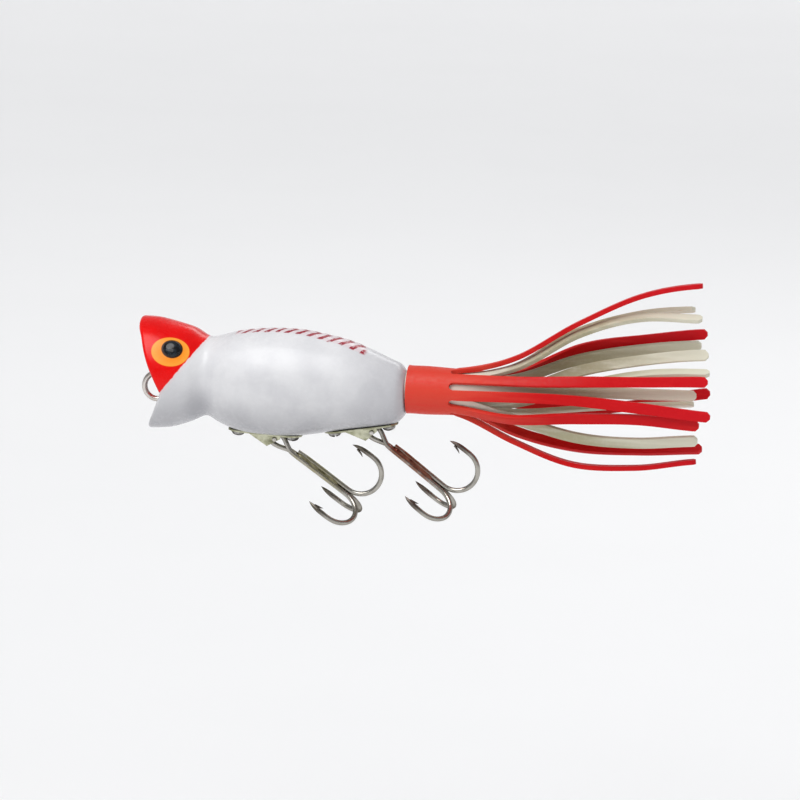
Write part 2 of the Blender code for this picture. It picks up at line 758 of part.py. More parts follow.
def skirt_layer(name, radius, thickness, slit, front, phase, strands, surface):
    """A sleeve cut into strands: an open surface with thickness added."""
    slit_x = TAIL_X + SLEEVE_LENGTH
    pitch = math.tau / STRAND_COUNT
    strand_half = (pitch - slit / radius) / 2
    columns = 3
    points, faces = [], []
    sleeve_steps = 3
    for step in range(sleeve_steps + 1):
        x = front + (slit_x - front) * step / sleeve_steps
        for strand in range(STRAND_COUNT):
            for column in range(columns):
                angle = phase + strand * pitch + strand_half * (column - 1)
                points.append((x, -radius * math.cos(angle), AXIS_RISE + radius * math.sin(angle)))
    around = STRAND_COUNT * columns
    for row in range(sleeve_steps):
        for column in range(around):
            following = (column + 1) % around
            near, far = row * around, (row + 1) * around
            faces.append((near + column, near + following, far + following, far + column))
    last = sleeve_steps * around
    half_width = radius * math.sin(strand_half)
    for number, strand in enumerate(strands):
        angle = phase + number * pitch
        edge = [last + number * columns + column for column in range(columns)]
        for row in strand_rows(angle, radius, half_width, slit_x, strand):
            new = list(range(len(points), len(points) + columns))
            points.extend(row)
            for column in range(columns - 1):
                faces.append((edge[column], edge[column + 1], new[column + 1], new[column]))
            edge = new
    layer = mesh_from(name, points, faces, PARTS, surface=surface, closed=False)
    thicken = layer.modifiers.new("thickness", "SOLIDIFY")
    thicken.thickness = thickness * MM
    thicken.offset = 0.0


# ---------------------------------------------------------------- assembly


def build():
    white = material("white_shell", (0.85, 0.85, 0.86), 0.22)
    steel = material("nickel_wire", (0.62, 0.58, 0.50), 0.25, 1.0)
    strap = material("plated_strap", (0.55, 0.53, 0.42), 0.3, 1.0)
    screw = material("screw_steel", (0.45, 0.45, 0.45), 0.3, 1.0)
    dark = material("dark_stem", (0.05, 0.05, 0.05), 0.5)
    red_rubber = material("red_rubber", (0.62, 0.01, 0.02), 0.45)
    cream_rubber = material("cream_rubber", (0.78, 0.75, 0.62), 0.5)
    surfaces = {"strap": strap, "pin": steel, "screw": screw, "hook": steel}

    hanger_set("front", FRONT_HANGER_AT, FRONT_SHANK_ANGLE, (20, 75), surfaces)
    hanger_set("rear", REAR_HANGER_AT, REAR_SHANK_ANGLE, (110, 40), surfaces)
    body_bosses_and_cuts()
    cup_skin()
    rim_prism()
    cavity = cavity_skin()
    body_half("body_left_half", -1, white, cavity)
    body_half("body_right_half", 1, white, cavity)
    line_tie(steel)
    skirt_post(dark)

    inner_radius = POST_DIAMETER / 2 + POST_CLEARANCE + INNER_THICKNESS / 2
    outer_radius = inner_radius + (INNER_THICKNESS + OUTER_THICKNESS) / 2 + LAYER_GAP
    outer_phase = math.radians(STRAND_PHASE)
    inner_phase = outer_phase + math.pi / STRAND_COUNT
    inner_front = TAIL_X + SLEEVE_OFF_BODY
    outer_front = inner_front + INNER_LEAD
    outer = ("skirt_outer", outer_radius, OUTER_THICKNESS, OUTER_SLIT)
    inner = ("skirt_inner", inner_radius, INNER_THICKNESS, INNER_SLIT)
    skirt_layer(*outer, outer_front, outer_phase, OUTER_STRANDS, red_rubber)
    skirt_layer(*inner, inner_front, inner_phase, INNER_STRANDS, cream_rubber)


build()
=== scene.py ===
"""Looks of the topwater popper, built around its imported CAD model.

Lengths are millimetres and become metres where a mesh is made. Most sizes repeat the design's
own, and places come from the frame.
"""

import json
import math

import bmesh
import bpy
import numpy as np
from mathutils import Matrix, Vector


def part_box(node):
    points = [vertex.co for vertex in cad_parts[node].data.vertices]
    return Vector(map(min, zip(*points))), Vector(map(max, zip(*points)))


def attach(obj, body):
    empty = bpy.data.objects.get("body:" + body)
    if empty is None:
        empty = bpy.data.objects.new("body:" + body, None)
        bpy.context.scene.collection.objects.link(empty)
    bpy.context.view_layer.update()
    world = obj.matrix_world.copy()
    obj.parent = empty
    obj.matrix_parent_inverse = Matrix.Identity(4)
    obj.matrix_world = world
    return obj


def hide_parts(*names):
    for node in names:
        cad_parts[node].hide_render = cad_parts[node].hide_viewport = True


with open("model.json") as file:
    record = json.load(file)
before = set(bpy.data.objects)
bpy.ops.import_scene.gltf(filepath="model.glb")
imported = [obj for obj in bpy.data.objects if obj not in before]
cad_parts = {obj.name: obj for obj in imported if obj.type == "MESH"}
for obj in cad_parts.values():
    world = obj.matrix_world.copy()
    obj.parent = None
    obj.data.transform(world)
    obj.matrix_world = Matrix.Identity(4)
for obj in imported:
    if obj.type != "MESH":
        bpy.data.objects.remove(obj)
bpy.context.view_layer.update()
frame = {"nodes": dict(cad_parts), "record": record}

MM = 0.001

# Body outline, as designed
BODY_LENGTH = 58.0
BODY_HEIGHT = 23.6
BODY_WIDTH = 22.8
LIP_AHEAD = 3.6
AXIS_RISE = 2.4
BODY_STATIONS = (
    (0.000, 0.547, 0.496, 0.491),
    (0.062, 0.542, 0.487, 0.487),
    (0.131, 0.508, 0.466, 0.469),
    (0.200, 0.462, 0.407, 0.421),
    (0.257, 0.390, 0.347, 0.368),
    (0.307, 0.411, 0.403, 0.417),
    (0.372, 0.456, 0.462, 0.469),
    (0.476, 0.492, 0.500, 0.500),
    (0.597, 0.498, 0.485, 0.496),
    (0.683, 0.470, 0.453, 0.469),
    (0.786, 0.419, 0.403, 0.425),
    (0.872, 0.343, 0.369, 0.373),
    (0.941, 0.271, 0.339, 0.325),
    (0.979, 0.233, 0.309, 0.289),
    (1.000, 0.178, 0.254, 0.232),
)
RIM_UPPER = (
    (-0.010, 0.600),
    (0.002, 0.500),
    (0.019, 0.415),
    (0.036, 0.290),
    (0.056, 0.160),
    (0.080, 0.025),
    (0.102, -0.100),
)
RIM_LOWER = ((0.102, -0.100), (0.085, -0.225), (0.064, -0.350), (0.032, -0.510), (0.010, -0.620))
RIM_WALL = 1.2
CUP_DEPTH = 8.8
CUP_SQUARENESS = 3.5
SEAM_HALF_GAP = 0.004  # finer than the design's
TAIL_X = BODY_LENGTH - LIP_AHEAD

# Finish of the halves, and the cuts for what they hold
TAIL_CAP_DROP = 0.5  # the tail cap's middle below the axis
SEAT_REACH = 2.4  # flat of a hanger's seat beyond its screws
SEAT_HALF_WIDTH = 4.2
POCKET_HALF_LENGTH = 2.15
POCKET_HALF_WIDTH = 0.9
HOLE_ROOM = 0.1
TIE_HOLE_END = 12.8
STEM_HOLE = 5.3

# Paint
RED_EDGE_SLOPE = 1.27  # the red face ends on this slope, seen from the side
RED_EDGE_AT = -2.55
# The painted shade in the crease behind the head centres here.
NECK_X = 10.3  # where the crease behind the head is darkest
EYE_CENTRE = (4.3, 8.75, 9.45)
EYE_NORMAL = (0.12, 0.84, 0.53)
IRIS = (4.1, 3.35)
PUPIL_CENTRE = (4.6, 8.45, 9.95)
PUPIL = (2.05, 1.9)
PUPIL_RISE = 0.75
DASHES = (17.0, 46.5, 2.45)  # from, to and pitch along the back

# Hardware, as designed
HINGE_AT = (8.35, 1.35)
SCREW_SPACING = 12.0
STRAP_THICKNESS = 0.4
STRAP_WIDTH = 6.0
FIT_GAP = 0.03
EYE_POCKET = 0.9
SCREW_HEAD = 2.9
SCREW_HEAD_HEIGHT = 1.2
SCREW_SHANK = 1.9
SCREW_LENGTH = 3.5
SLOT_ANGLES = {"front": (20, 75), "rear": (110, 40)}
TIE_WIRE = 1.2
TIE_RING = 7.0
TIE_SHANK = 9.3
SLOT_HALF_WIDTH = 0.24  # the screws' slots are a little larger than the design's
SLOT_DEPTH = 0.55
DOME_FOOT = 0.3  # height of the head's side, below its dome

# Hooks
HOOK_WIRE = 1.1
HOOK_EYE = 3.7
HOOK_WIRE_GAP = 0.04
SHANK_END = 19.4
HOOK_GAPE = 9.8
POINT_AT = 14.2
EYE_NECK = 4.5
EYE_WIRE_SHARE = 0.965  # the double hook's shanks and eye are thinner than the design's
BRAZE_RADIUS = 0.85
BRAZE_END = 17.2

# Skirt
INNER_RADIUS = 3.5
OUTER_RADIUS = 4.65
INNER_THICKNESS = 0.9
OUTER_THICKNESS = 1.0
SLEEVE_LENGTH = 11.0
SLEEVE_OFF_BODY = 0.4
INNER_LEAD = 0.3
STRAND_COUNT = 8
OUTER_SLIT = 1.5
INNER_SLIT = 0.55
STRAND_PHASE = 1.5
# Length, twist in degrees, then right and up from the axis at each quarter. The first and the
# last outer strand lie up to 0.6 mm from the design's, nearer to each other; the rest are as there
OUTER_STRANDS = (
    (55.8, 0, (-5.7, 0.6), (-6.7, 0.8), (-7.3, 0.1), (-7.7, -1.0)),
    (54.9, 35, (-5.1, 4.0), (-6.0, 4.8), (-6.3, 5.5), (-6.4, 6.4)),
    (52.7, 0, (-0.8, 8.4), (-1.6, 16.6), (-2.1, 23.5), (-2.6, 26.4)),
    (53.5, -45, (5.3, 4.0), (5.9, 9.9), (6.1, 12.6), (6.2, 14.6)),
    (54.5, 0, (6.1, -3.1), (7.0, -3.5), (7.4, -1.7), (7.6, 1.3)),
    (53.6, 0, (3.8, -8.8), (3.4, -11.3), (3.0, -11.1), (2.8, -9.9)),
    (52.7, 0, (-0.4, -10.1), (-0.8, -14.4), (-1.0, -14.2), (-1.2, -12.0)),
    (53.4, -40, (-5.4, -4.4), (-5.9, -3.2), (-6.2, -2.5), (-6.2, -3.3)),
)
INNER_STRANDS = (
    (52.4, 0, (-3.5, 1.8), (-3.7, 2.4), (-4.0, 2.6), (-4.2, 2.8)),
    (52.9, 0, (-1.1, 6.5), (-2.0, 14.4), (-2.4, 18.8), (-2.8, 19.4)),
    (51.0, 0, (1.7, 6.1), (2.0, 14.2), (1.8, 18.8), (1.5, 20.5)),
    (52.5, 0, (3.5, 2.9), (3.6, 7.9), (3.4, 10.8), (3.2, 12.5)),
    (54.4, 0, (1.7, 0.6), (0.6, 6.2), (-0.2, 9.3), (-0.6, 11.1)),
    (54.9, 0, (0.2, -1.8), (-1.3, 3.2), (-1.9, 6.4), (-2.2, 7.6)),
    (51.7, 0, (-0.2, -3.6), (-0.5, -2.3), (-0.6, -0.7), (-0.6, 0.4)),
    (53.0, 0, (-3.2, -4.7), (-3.2, -7.8), (-3.2, -8.2), (-3.2, -7.2)),
)


# ---------------------------------------------------------------- mesh helpers


def smooth(low, high, value):
    share = min(max((value - low) / (high - low), 0.0), 1.0)
    return share * share * (3 - 2 * share)


def curve_through(values, share):
    """A smooth value through evenly numbered values (Catmull-Rom), at share 0 to 1 of them."""
    place = share * (len(values) - 1)
    index = min(int(place), len(values) - 2)
    t = place - index
    before = values[max(index - 1, 0)]
    start, end = values[index], values[index + 1]
    after = values[min(index + 2, len(values) - 1)]
    slope_in, slope_out = (end - before) / 2, (after - start) / 2
    return (
        (2 * t**3 - 3 * t**2 + 1) * start
        + (t**3 - 2 * t**2 + t) * slope_in
        + (3 * t**2 - 2 * t**3) * end
        + (t**3 - t**2) * slope_out
    )


def object_from(name, points, faces, closed=True):
    mesh = bpy.data.meshes.new(name)
    mesh.from_pydata([Vector(point) * MM for point in points], [], faces)
    shape = bmesh.new()
    shape.from_mesh(mesh)
    if closed:
        bmesh.ops.recalc_face_normals(shape, faces=shape.faces[:])
    shape.to_mesh(mesh)
    shape.free()
    obj = bpy.data.objects.new(name, mesh)
    bpy.context.scene.collection.objects.link(obj)
    return obj


def skin(name, rings, ends=(True, True)):
    """Quads over closed rings of matching points; ends caps the first and the last ring."""
    count = len(rings[0])
    points = [point for ring in rings for point in ring]
    faces = []
    for row in range(len(rings) - 1):
        for side in range(count):
            following = (side + 1) % count
            near, far = row * count, (row + 1) * count
            faces.append((near + side, near + following, far + following, far + side))
    if ends[0]:
        faces.append(tuple(range(count))[::-1])
    if ends[1]:
        faces.append(tuple(range(len(points) - count, len(points))))
    return object_from(name, points, faces, all(ends))


def box_cutter(low, high, matrix):
    outline = ((low[0], low[2]), (high[0], low[2]), (high[0], high[2]), (low[0], high[2]))
    cutter = skin("cutter", [[(x, y, z) for x, z in outline] for y in (low[1], high[1])])
    cutter.data.transform(matrix)
    return cutter


def rod_points(start, end, diameter, sides=32):
    axis = Vector(end) - Vector(start)
    turn = Vector((0, 0, 1)).rotation_difference(axis)
    rings = []
    for base in (Vector(start), Vector(end)):
        angles = [math.tau * (side + 0.5) / sides for side in range(sides)]
        offsets = [Vector((math.cos(a), math.sin(a), 0)) * diameter / 2 for a in angles]
        rings.append([base + turn @ offset for offset in offsets])
    return rings


def rod_cutter(start, end, diameter, matrix):
    cutter = skin("cutter", rod_points(start, end, diameter))
    cutter.data.transform(matrix)
    return cutter


def apply_modifiers(obj):
    graph = bpy.context.evaluated_depsgraph_get()
    mesh = bpy.data.meshes.new_from_object(obj.evaluated_get(graph))
    obj.modifiers.clear()
    obj.data = mesh


def cut(obj, cutters, operation="DIFFERENCE"):
    for cutter in cutters:
        step = obj.modifiers.new("cut", "BOOLEAN")
        step.operation = operation
        step.solver = "EXACT"
        step.object = cutter
    apply_modifiers(obj)
    for cutter in cutters:
        bpy.data.objects.remove(cutter, do_unlink=True)


def round_edges(obj, width, segments, angle):
    bevel = obj.modifiers.new("round", "BEVEL")
    bevel.width = width * MM
    bevel.segments = segments
    bevel.limit_method = "ANGLE"
    bevel.angle_limit = math.radians(angle)
    bevel.harden_normals = False
    apply_modifiers(obj)


def shade(obj, angle):
    obj.data.shade_smooth()
    obj.data.set_sharp_from_angle(angle=math.radians(angle))


def piece(obj, surface, body="body", replaces=()):
    """Gives a finished shape its material and the body that it moves with."""
    obj.data.materials.clear()
    obj.data.materials.append(surface)
    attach(obj, body)
    if replaces:
        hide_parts(*replaces)


def sweep(name, points, radii, sides=16):
    """A round wire of changing radius along points, with flat ends."""
    points = [Vector(point) for point in points]
    rings = []
    across = None
    for index, point in enumerate(points):
        along = (points[min(index + 1, len(points) - 1)] - points[max(index - 1, 0)]).normalized()
        if across is None:
            across = along.orthogonal().normalized()
        across = (across - along * across.dot(along)).normalized()
        other = along.cross(across)
        ring = []
        for side in range(sides):
            angle = math.tau * side / sides
            ring.append(point + (across * math.cos(angle) + other * math.sin(angle)) * radii[index])
        rings.append(ring)
    return skin(name, rings)


def resample(points, spacing, radii=None):
    """Evenly spaced points on a smooth curve through points, with radii to match."""
    points = [Vector(point) for point in points]
    radii = radii or [1.0] * len(points)
    fine = 400
    places = [curve_through(points, i / fine) for i in range(fine + 1)]
    widths = [curve_through(radii, i / fine) for i in range(fine + 1)]
    travelled = [0.0]
    for before, after in zip(places, places[1:]):
        travelled.append(travelled[-1] + (after - before).length)
    count = max(int(travelled[-1] / spacing), 2)
    wanted = np.linspace(0, travelled[-1], count + 1)
    columns = [np.interp(wanted, travelled, [p[k] for p in places]) for k in range(3)]
    return [Vector(c) for c in zip(*columns)], list(np.interp(wanted, travelled, widths))


# ---------------------------------------------------------------- material helpers

# Dark edge tint for the metals: painted shade, standing in for dark surroundings that they would reflect
# at a glancing angle.
PAINTED_EDGE_SHADE = (0.14, 0.13, 0.12)  # what metals reflect at a glancing angle


class Surface:
    """A Principled material whose node tree is built by short calls."""

    def __init__(self, name, colour, roughness, metallic=0.0, **sockets):
        self.material = bpy.data.materials.new(name)
        self.material.use_nodes = True
        self.tree = self.material.node_tree
        self.shader = self.tree.nodes["Principled BSDF"]
        self.set("Base Color", colour)
        self.set("Roughness", roughness)
        self.set("Metallic", metallic)
        for socket, value in sockets.items():
            self.set(socket.replace("_", " "), value)

    def set(self, socket, value):
        target = self.shader.inputs[socket]
        if isinstance(value, bpy.types.NodeSocket):
            self.tree.links.new(value, target)
        elif isinstance(value, tuple) and len(value) == 3 and target.type == "RGBA":
            target.default_value = (*value, 1.0)
        else:
            target.default_value = value

    def node(self, kind, inputs=(), **settings):
        made = self.tree.nodes.new(kind)
        for key, value in settings.items():
            setattr(made, key, value)
        for key, value in dict(inputs).items():
            if isinstance(value, bpy.types.NodeSocket):
                self.tree.links.new(value, made.inputs[key])
            else:
                made.inputs[key].default_value = value
        return made

    def place(self):
        """Object coordinates in millimetres, as separate x, y and z."""
        self.coordinates = self.node("ShaderNodeTexCoord").outputs
        scale = {0: self.coordinates["Object"], 1: (1000,) * 3}
        scaled = self.node("ShaderNodeVectorMath", scale, operation="MULTIPLY")
        self.position = scaled.outputs[0]
        split = self.node("ShaderNodeSeparateXYZ", {0: self.position})
        return split.outputs[0], split.outputs[1], split.outputs[2]

    def maths(self, operation, *values):
        return self.node("ShaderNodeMath", dict(enumerate(values)), operation=operation).outputs[0]

    def ramp(self, value, low, high, to_low=0.0, to_high=1.0):
        """A smooth step of value between low and high."""
        step = self.node("ShaderNodeMapRange", interpolation_type="SMOOTHSTEP")
        numbers = {"Value": value, "From Min": low, "From Max": high, "To Min": to_low, "To Max": to_high}
        for key, number in numbers.items():
            if isinstance(number, bpy.types.NodeSocket):
                self.tree.links.new(number, step.inputs[key])
            else:
                step.inputs[key].default_value = number
        return step.outputs["Result"]

    def noise(self, scale, detail=2.0, stretch=(1, 1, 1), roughness=0.5):
        """Noise with a grain of about 1/scale millimetres."""
        grain = {0: self.position, 1: stretch}
        vector = self.node("ShaderNodeVectorMath", grain, operation="MULTIPLY").outputs[0]
        inputs = {"Vector": vector, "Scale": scale, "Detail": detail, "Roughness": roughness}
        return self.node("ShaderNodeTexNoise", inputs).outputs["Fac"]

    def mix(self, factor, first, second):
        made = self.node("ShaderNodeMix", data_type="RGBA")
        for key, value in ((0, factor), (6, first), (7, second)):
            if isinstance(value, bpy.types.NodeSocket):
                self.tree.links.new(value, made.inputs[key])
            else:
                made.inputs[key].default_value = value if isinstance(value, float) else (*value, 1.0)
        return made.outputs[2]

    def bump(self, height, distance, strength=1.0):
        inputs = {"Height": height, "Distance": distance * MM, "Strength": strength}
        self.set("Normal", self.node("ShaderNodeBump", inputs).outputs["Normal"])


def shell_surface():
    """White lacquer with the red face, the orange iris and the row of red chevrons on the back, with
    painted shade: greyer down the flanks and belly, darker in the crease behind the head and towards the
    tail.
    """
    made = Surface("shell_lacquer", (0.8, 0.8, 0.81), 0.34, Coat_Weight=0.22, Coat_Roughness=0.22)
    made.set("Specular IOR Level", 0.15)
    x, y, z = made.place()
    side = made.maths("ABSOLUTE", y)
    cloud = made.noise(0.16, 3)
    speckle = made.noise(0.9, 3)
    patches = made.ramp(cloud, 0.35, 0.65)
    white = made.mix(patches, (0.71, 0.71, 0.73), (0.77, 0.77, 0.785))
    painted_flank_shade = made.mix(patches, (0.63, 0.63, 0.65), (0.70, 0.70, 0.715))
    painted_belly_shade = made.mix(patches, (0.38, 0.38, 0.40), (0.43, 0.43, 0.45))
    # Painted shade: the white greys down the flanks and is darker still on the belly, as light falls from
    # above.
    white = made.mix(made.ramp(z, 9.5, 3.5), white, painted_flank_shade)
    white = made.mix(made.ramp(z, 1.0, -9.5), white, painted_belly_shade)
    # Painted shade in the crease behind the head, where the bulge of the body shades the neck.
    painted_crease_shade = made.ramp(made.maths("ABSOLUTE", made.maths("SUBTRACT", x, NECK_X)), 4.5, 0.5)
    painted_crease_shade = made.maths("MULTIPLY", painted_crease_shade, made.ramp(z, 5.0, -3.0))
    white = made.mix(made.maths("MULTIPLY", painted_crease_shade, 0.55), white, (0.32, 0.32, 0.35))
    # Painted shade towards the tail, where the body turns away from the light.
    white = made.mix(made.ramp(x, TAIL_X - 14.0, TAIL_X, 0.0, 0.5), white, (0.36, 0.36, 0.39))

    wobble = made.maths("MULTIPLY", made.maths("SUBTRACT", speckle, 0.5), 0.5)
    edge = made.maths("SUBTRACT", z, made.maths("MULTIPLY", x, RED_EDGE_SLOPE))
    edge = made.maths("SUBTRACT", edge, RED_EDGE_AT)
    edge = made.maths("DIVIDE", edge, math.hypot(1, RED_EDGE_SLOPE))
    edge = made.maths("ADD", edge, wobble)
    haze = made.ramp(edge, -0.9, 0.0, 0.0, 0.22)
    colour = made.mix(haze, white, (0.88, 0.45, 0.45))
    red = made.mix(made.ramp(cloud, 0.3, 0.7), (0.70, 0.0, 0.0), (0.84, 0.0, 0.0))
    colour = made.mix(made.ramp(edge, -0.1, 0.12), colour, red)

    normal = Vector(EYE_NORMAL).normalized()
    tilt = Matrix.Rotation(math.radians(-8), 3, normal)
    along = Vector((1, 0, 0))
    along = tilt @ (along - normal * along.dot(normal)).normalized()
    across = normal.cross(along)
    mirrored = made.node("ShaderNodeCombineXYZ", {0: x, 1: side, 2: z}).outputs[0]

    def eye_distance(centre, widths):
        """Distance from centre on the head's side, 1 on an oval of these half widths."""
        offset = made.node("ShaderNodeVectorMath", {0: mirrored, 1: centre}, operation="SUBTRACT")
        squares = []
        for direction, width in ((along, widths[0]), (across, widths[1])):
            inputs = {0: offset.outputs[0], 1: tuple(direction / width)}
            dot = made.node("ShaderNodeVectorMath", inputs, operation="DOT_PRODUCT")
            squares.append(made.maths("MULTIPLY", dot.outputs["Value"], dot.outputs["Value"]))
        return made.maths("SQRT", made.maths("ADD", *squares))

    facing = made.node("ShaderNodeSeparateXYZ", {0: made.coordinates["Normal"]}).outputs[1]
    outside = made.ramp(made.maths("MULTIPLY", facing, made.maths("SIGN", y)), 0.05, 0.2)
    iris = eye_distance(EYE_CENTRE, IRIS)
    orange = made.mix(made.ramp(iris, 0.55, 1.0), (0.93, 0.28, 0.015), (0.95, 0.37, 0.04))
    colour = made.mix(made.maths("MULTIPLY", outside, made.ramp(iris, 1.03, 0.97)), colour, orange)
    pupil = made.ramp(eye_distance(PUPIL_CENTRE, PUPIL), 1.18, 1.08)
    pupil = made.maths("MULTIPLY", outside, pupil)
    colour = made.mix(pupil, colour, (0.03, 0.008, 0.003))

    first, last, pitch = DASHES
    bend = made.maths("MULTIPLY", made.maths("SUBTRACT", made.noise(0.3, 2), 0.5), 1.6)
    shifted = made.maths("ADD", made.maths("ADD", x, bend), made.maths("MULTIPLY", side, 0.6))
    phase = made.maths("FRACT", made.maths("DIVIDE", made.maths("SUBTRACT", shifted, first), pitch))
    stroke = made.ramp(made.maths("ABSOLUTE", made.maths("SUBTRACT", phase, 0.5)), 0.27, 0.19)
    reach = made.ramp(x, first, last, 2.3, 3.7)
    rough_edge = made.maths("MULTIPLY", made.maths("SUBTRACT", speckle, 0.5), 1.2)
    reach = made.maths("ADD", reach, rough_edge)
    band = made.ramp(made.maths("SUBTRACT", side, reach), 0.4, -0.2)
    for value, low, high in ((x, first, first + 1.0), (x, last, last - 1.0), (z, 5.0, 5.2)):
        band = made.maths("MULTIPLY", band, made.ramp(value, low, high))
    colour = made.mix(made.maths("MULTIPLY", band, 0.22), colour, (0.86, 0.42, 0.47))
    worn = made.ramp(made.noise(1.3, 4), 0.30, 0.44, 0.15, 1.0)
    stroke = made.maths("MULTIPLY", made.maths("MULTIPLY", stroke, worn), band)
    colour = made.mix(stroke, colour, (0.33, 0.008, 0.025))

    made.set("Base Color", colour)
    made.set("Roughness", made.ramp(speckle, 0.3, 0.7, 0.2, 0.32))
    made.bump(made.noise(0.7, 2), 0.02, 0.35)
    return made.material


def pupil_surface():
    made = Surface("pupil_enamel", (0.01, 0.01, 0.012), 0.16, Coat_Weight=0.1, Coat_Roughness=0.06)
    made.set("Specular IOR Level", 0.3)
    made.place()
    cloud = made.noise(0.9, 2)
    colour = made.mix(made.ramp(cloud, 0.4, 0.7), (0.003, 0.003, 0.004), (0.015, 0.022, 0.03))
    made.set("Base Color", colour)
    made.bump(made.noise(1.5, 2), 0.01, 0.4)
    return made.material


def nickel_surface(name, colour, tint):
    """Bright plated wire, stained here and there, with painted shade from a dark edge tint where it turns
    away.
    """
    made = Surface(name, colour, 0.2, 1.0, Specular_Tint=PAINTED_EDGE_SHADE)
    made.place()
    stain = made.ramp(made.noise(0.5, 4), 0.42, 0.68, 0.0, 0.5)
    made.set("Base Color", made.mix(stain, colour, tint))
    scratches = made.noise(2.2, 4, (0.3, 2, 2))
    made.set("Roughness", made.ramp(scratches, 0.3, 0.7, 0.14, 0.3))
    made.bump(scratches, 0.01, 0.4)
    return made.material


def along_and_out(made, matrix):
    """Distances in millimetres along a treble's shank and out from it, for its material."""
    pivot, axis = matrix.translation / MM, matrix.to_3x3().col[0]
    inputs = {0: made.position, 1: tuple(pivot)}
    offset = made.node("ShaderNodeVectorMath", inputs, operation="SUBTRACT").outputs[0]
    inputs = {0: offset, 1: tuple(axis)}
    along = made.node("ShaderNodeVectorMath", inputs, operation="DOT_PRODUCT").outputs["Value"]
    whole = made.node("ShaderNodeVectorMath", {0: offset, 1: offset}, operation="DOT_PRODUCT")
    rest = made.maths("SUBTRACT", whole.outputs["Value"], made.maths("MULTIPLY", along, along))
    return along, made.maths("SQRT", made.maths("MAXIMUM", rest, 0.0))


def hook_surface(name, matrix, stained):
    """Bright wire, stained along its brazed shank and dark at its points."""
    bright = (0.46, 0.44, 0.40)
    # The dark edge tint is painted shade at glancing angles.
    made = Surface(name, bright, 0.2, 1.0, Specular_Tint=PAINTED_EDGE_SHADE)
    made.place()
    along, out = along_and_out(made, matrix)
    cloud = made.noise(0.45, 4)
    shank = made.maths("MULTIPLY", made.ramp(along, 3.5, 6.5), made.ramp(along, 20.0, 14.0))
    stain = made.maths("MULTIPLY", shank, made.ramp(cloud, 0.36, 0.6, 0.35, 0.95))
    colour = made.mix(made.ramp(cloud, 0.35, 0.7), bright, (0.33, 0.31, 0.27))
    colour = made.mix(stain, colour, stained)
    point = made.maths("MULTIPLY", made.ramp(out, 6.5, 8.6), made.ramp(along, 20.5, 16.5, 0.0, 0.85))
    made.set("Base Color", made.mix(point, colour, (0.10, 0.085, 0.075)))
    scratches = made.noise(2.2, 4)
    made.set("Roughness", made.ramp(scratches, 0.3, 0.7, 0.13, 0.28))
    made.bump(scratches, 0.01, 0.4)
    return made.material


def braze_surface(name, dark, pale):
    # The dark edge tint is painted shade at glancing angles.
    made = Surface(name, dark, 0.35, 1.0, Specular_Tint=PAINTED_EDGE_SHADE)
    made.place()
    grain = made.noise(0.6, 3)
    made.set("Base Color", made.mix(made.ramp(grain, 0.35, 0.65), dark, pale))
    made.set("Roughness", made.ramp(grain, 0.3, 0.7, 0.24, 0.4))
    made.bump(grain, 0.02, 0.4)
    return made.material


def stamped_surface():
    """Greenish nickel brass, a little tarnished, with the grain of the sheet along it."""
    # The dark edge tint is painted shade at glancing angles.
    made = Surface("stamped_plate", (0.58, 0.57, 0.45), 0.3, 1.0, Specular_Tint=PAINTED_EDGE_SHADE)
    made.place()
    tarnish = made.noise(0.45, 4)
    colour = made.mix(made.ramp(tarnish, 0.38, 0.66), (0.56, 0.56, 0.42), (0.29, 0.29, 0.18))
    grain = made.noise(2.5, 3, (0.25, 2, 2))
    made.set("Base Color", colour)
    made.set("Roughness", made.ramp(grain, 0.3, 0.7, 0.22, 0.42))
    made.bump(grain, 0.012, 0.5)
    return made.material


def screw_surface():
    # The dark edge tint is painted shade at glancing angles.
    made = Surface("screw_plate", (0.3, 0.3, 0.3), 0.22, 1.0, Specular_Tint=PAINTED_EDGE_SHADE)
    made.place()
    cloud = made.noise(0.8, 4)
    colour = made.mix(made.ramp(cloud, 0.35, 0.65), (0.42, 0.41, 0.39), (0.10, 0.095, 0.09))
    made.set("Base Color", colour)
    made.set("Roughness", made.ramp(cloud, 0.3, 0.7, 0.18, 0.36))
    made.bump(made.noise(3.0, 3), 0.01, 0.5)
    return made.material


def stem_surface():
    made = Surface("dark_stem", (0.03, 0.035, 0.03), 0.45)
    made.place()
    cloud = made.noise(0.9, 3)
    colour = made.mix(made.ramp(cloud, 0.35, 0.65), (0.02, 0.025, 0.02), (0.07, 0.075, 0.06))
    made.set("Base Color", colour)
    made.set("Roughness", made.ramp(cloud, 0.3, 0.7, 0.35, 0.6))
    made.bump(cloud, 0.02, 0.4)
    return made.material


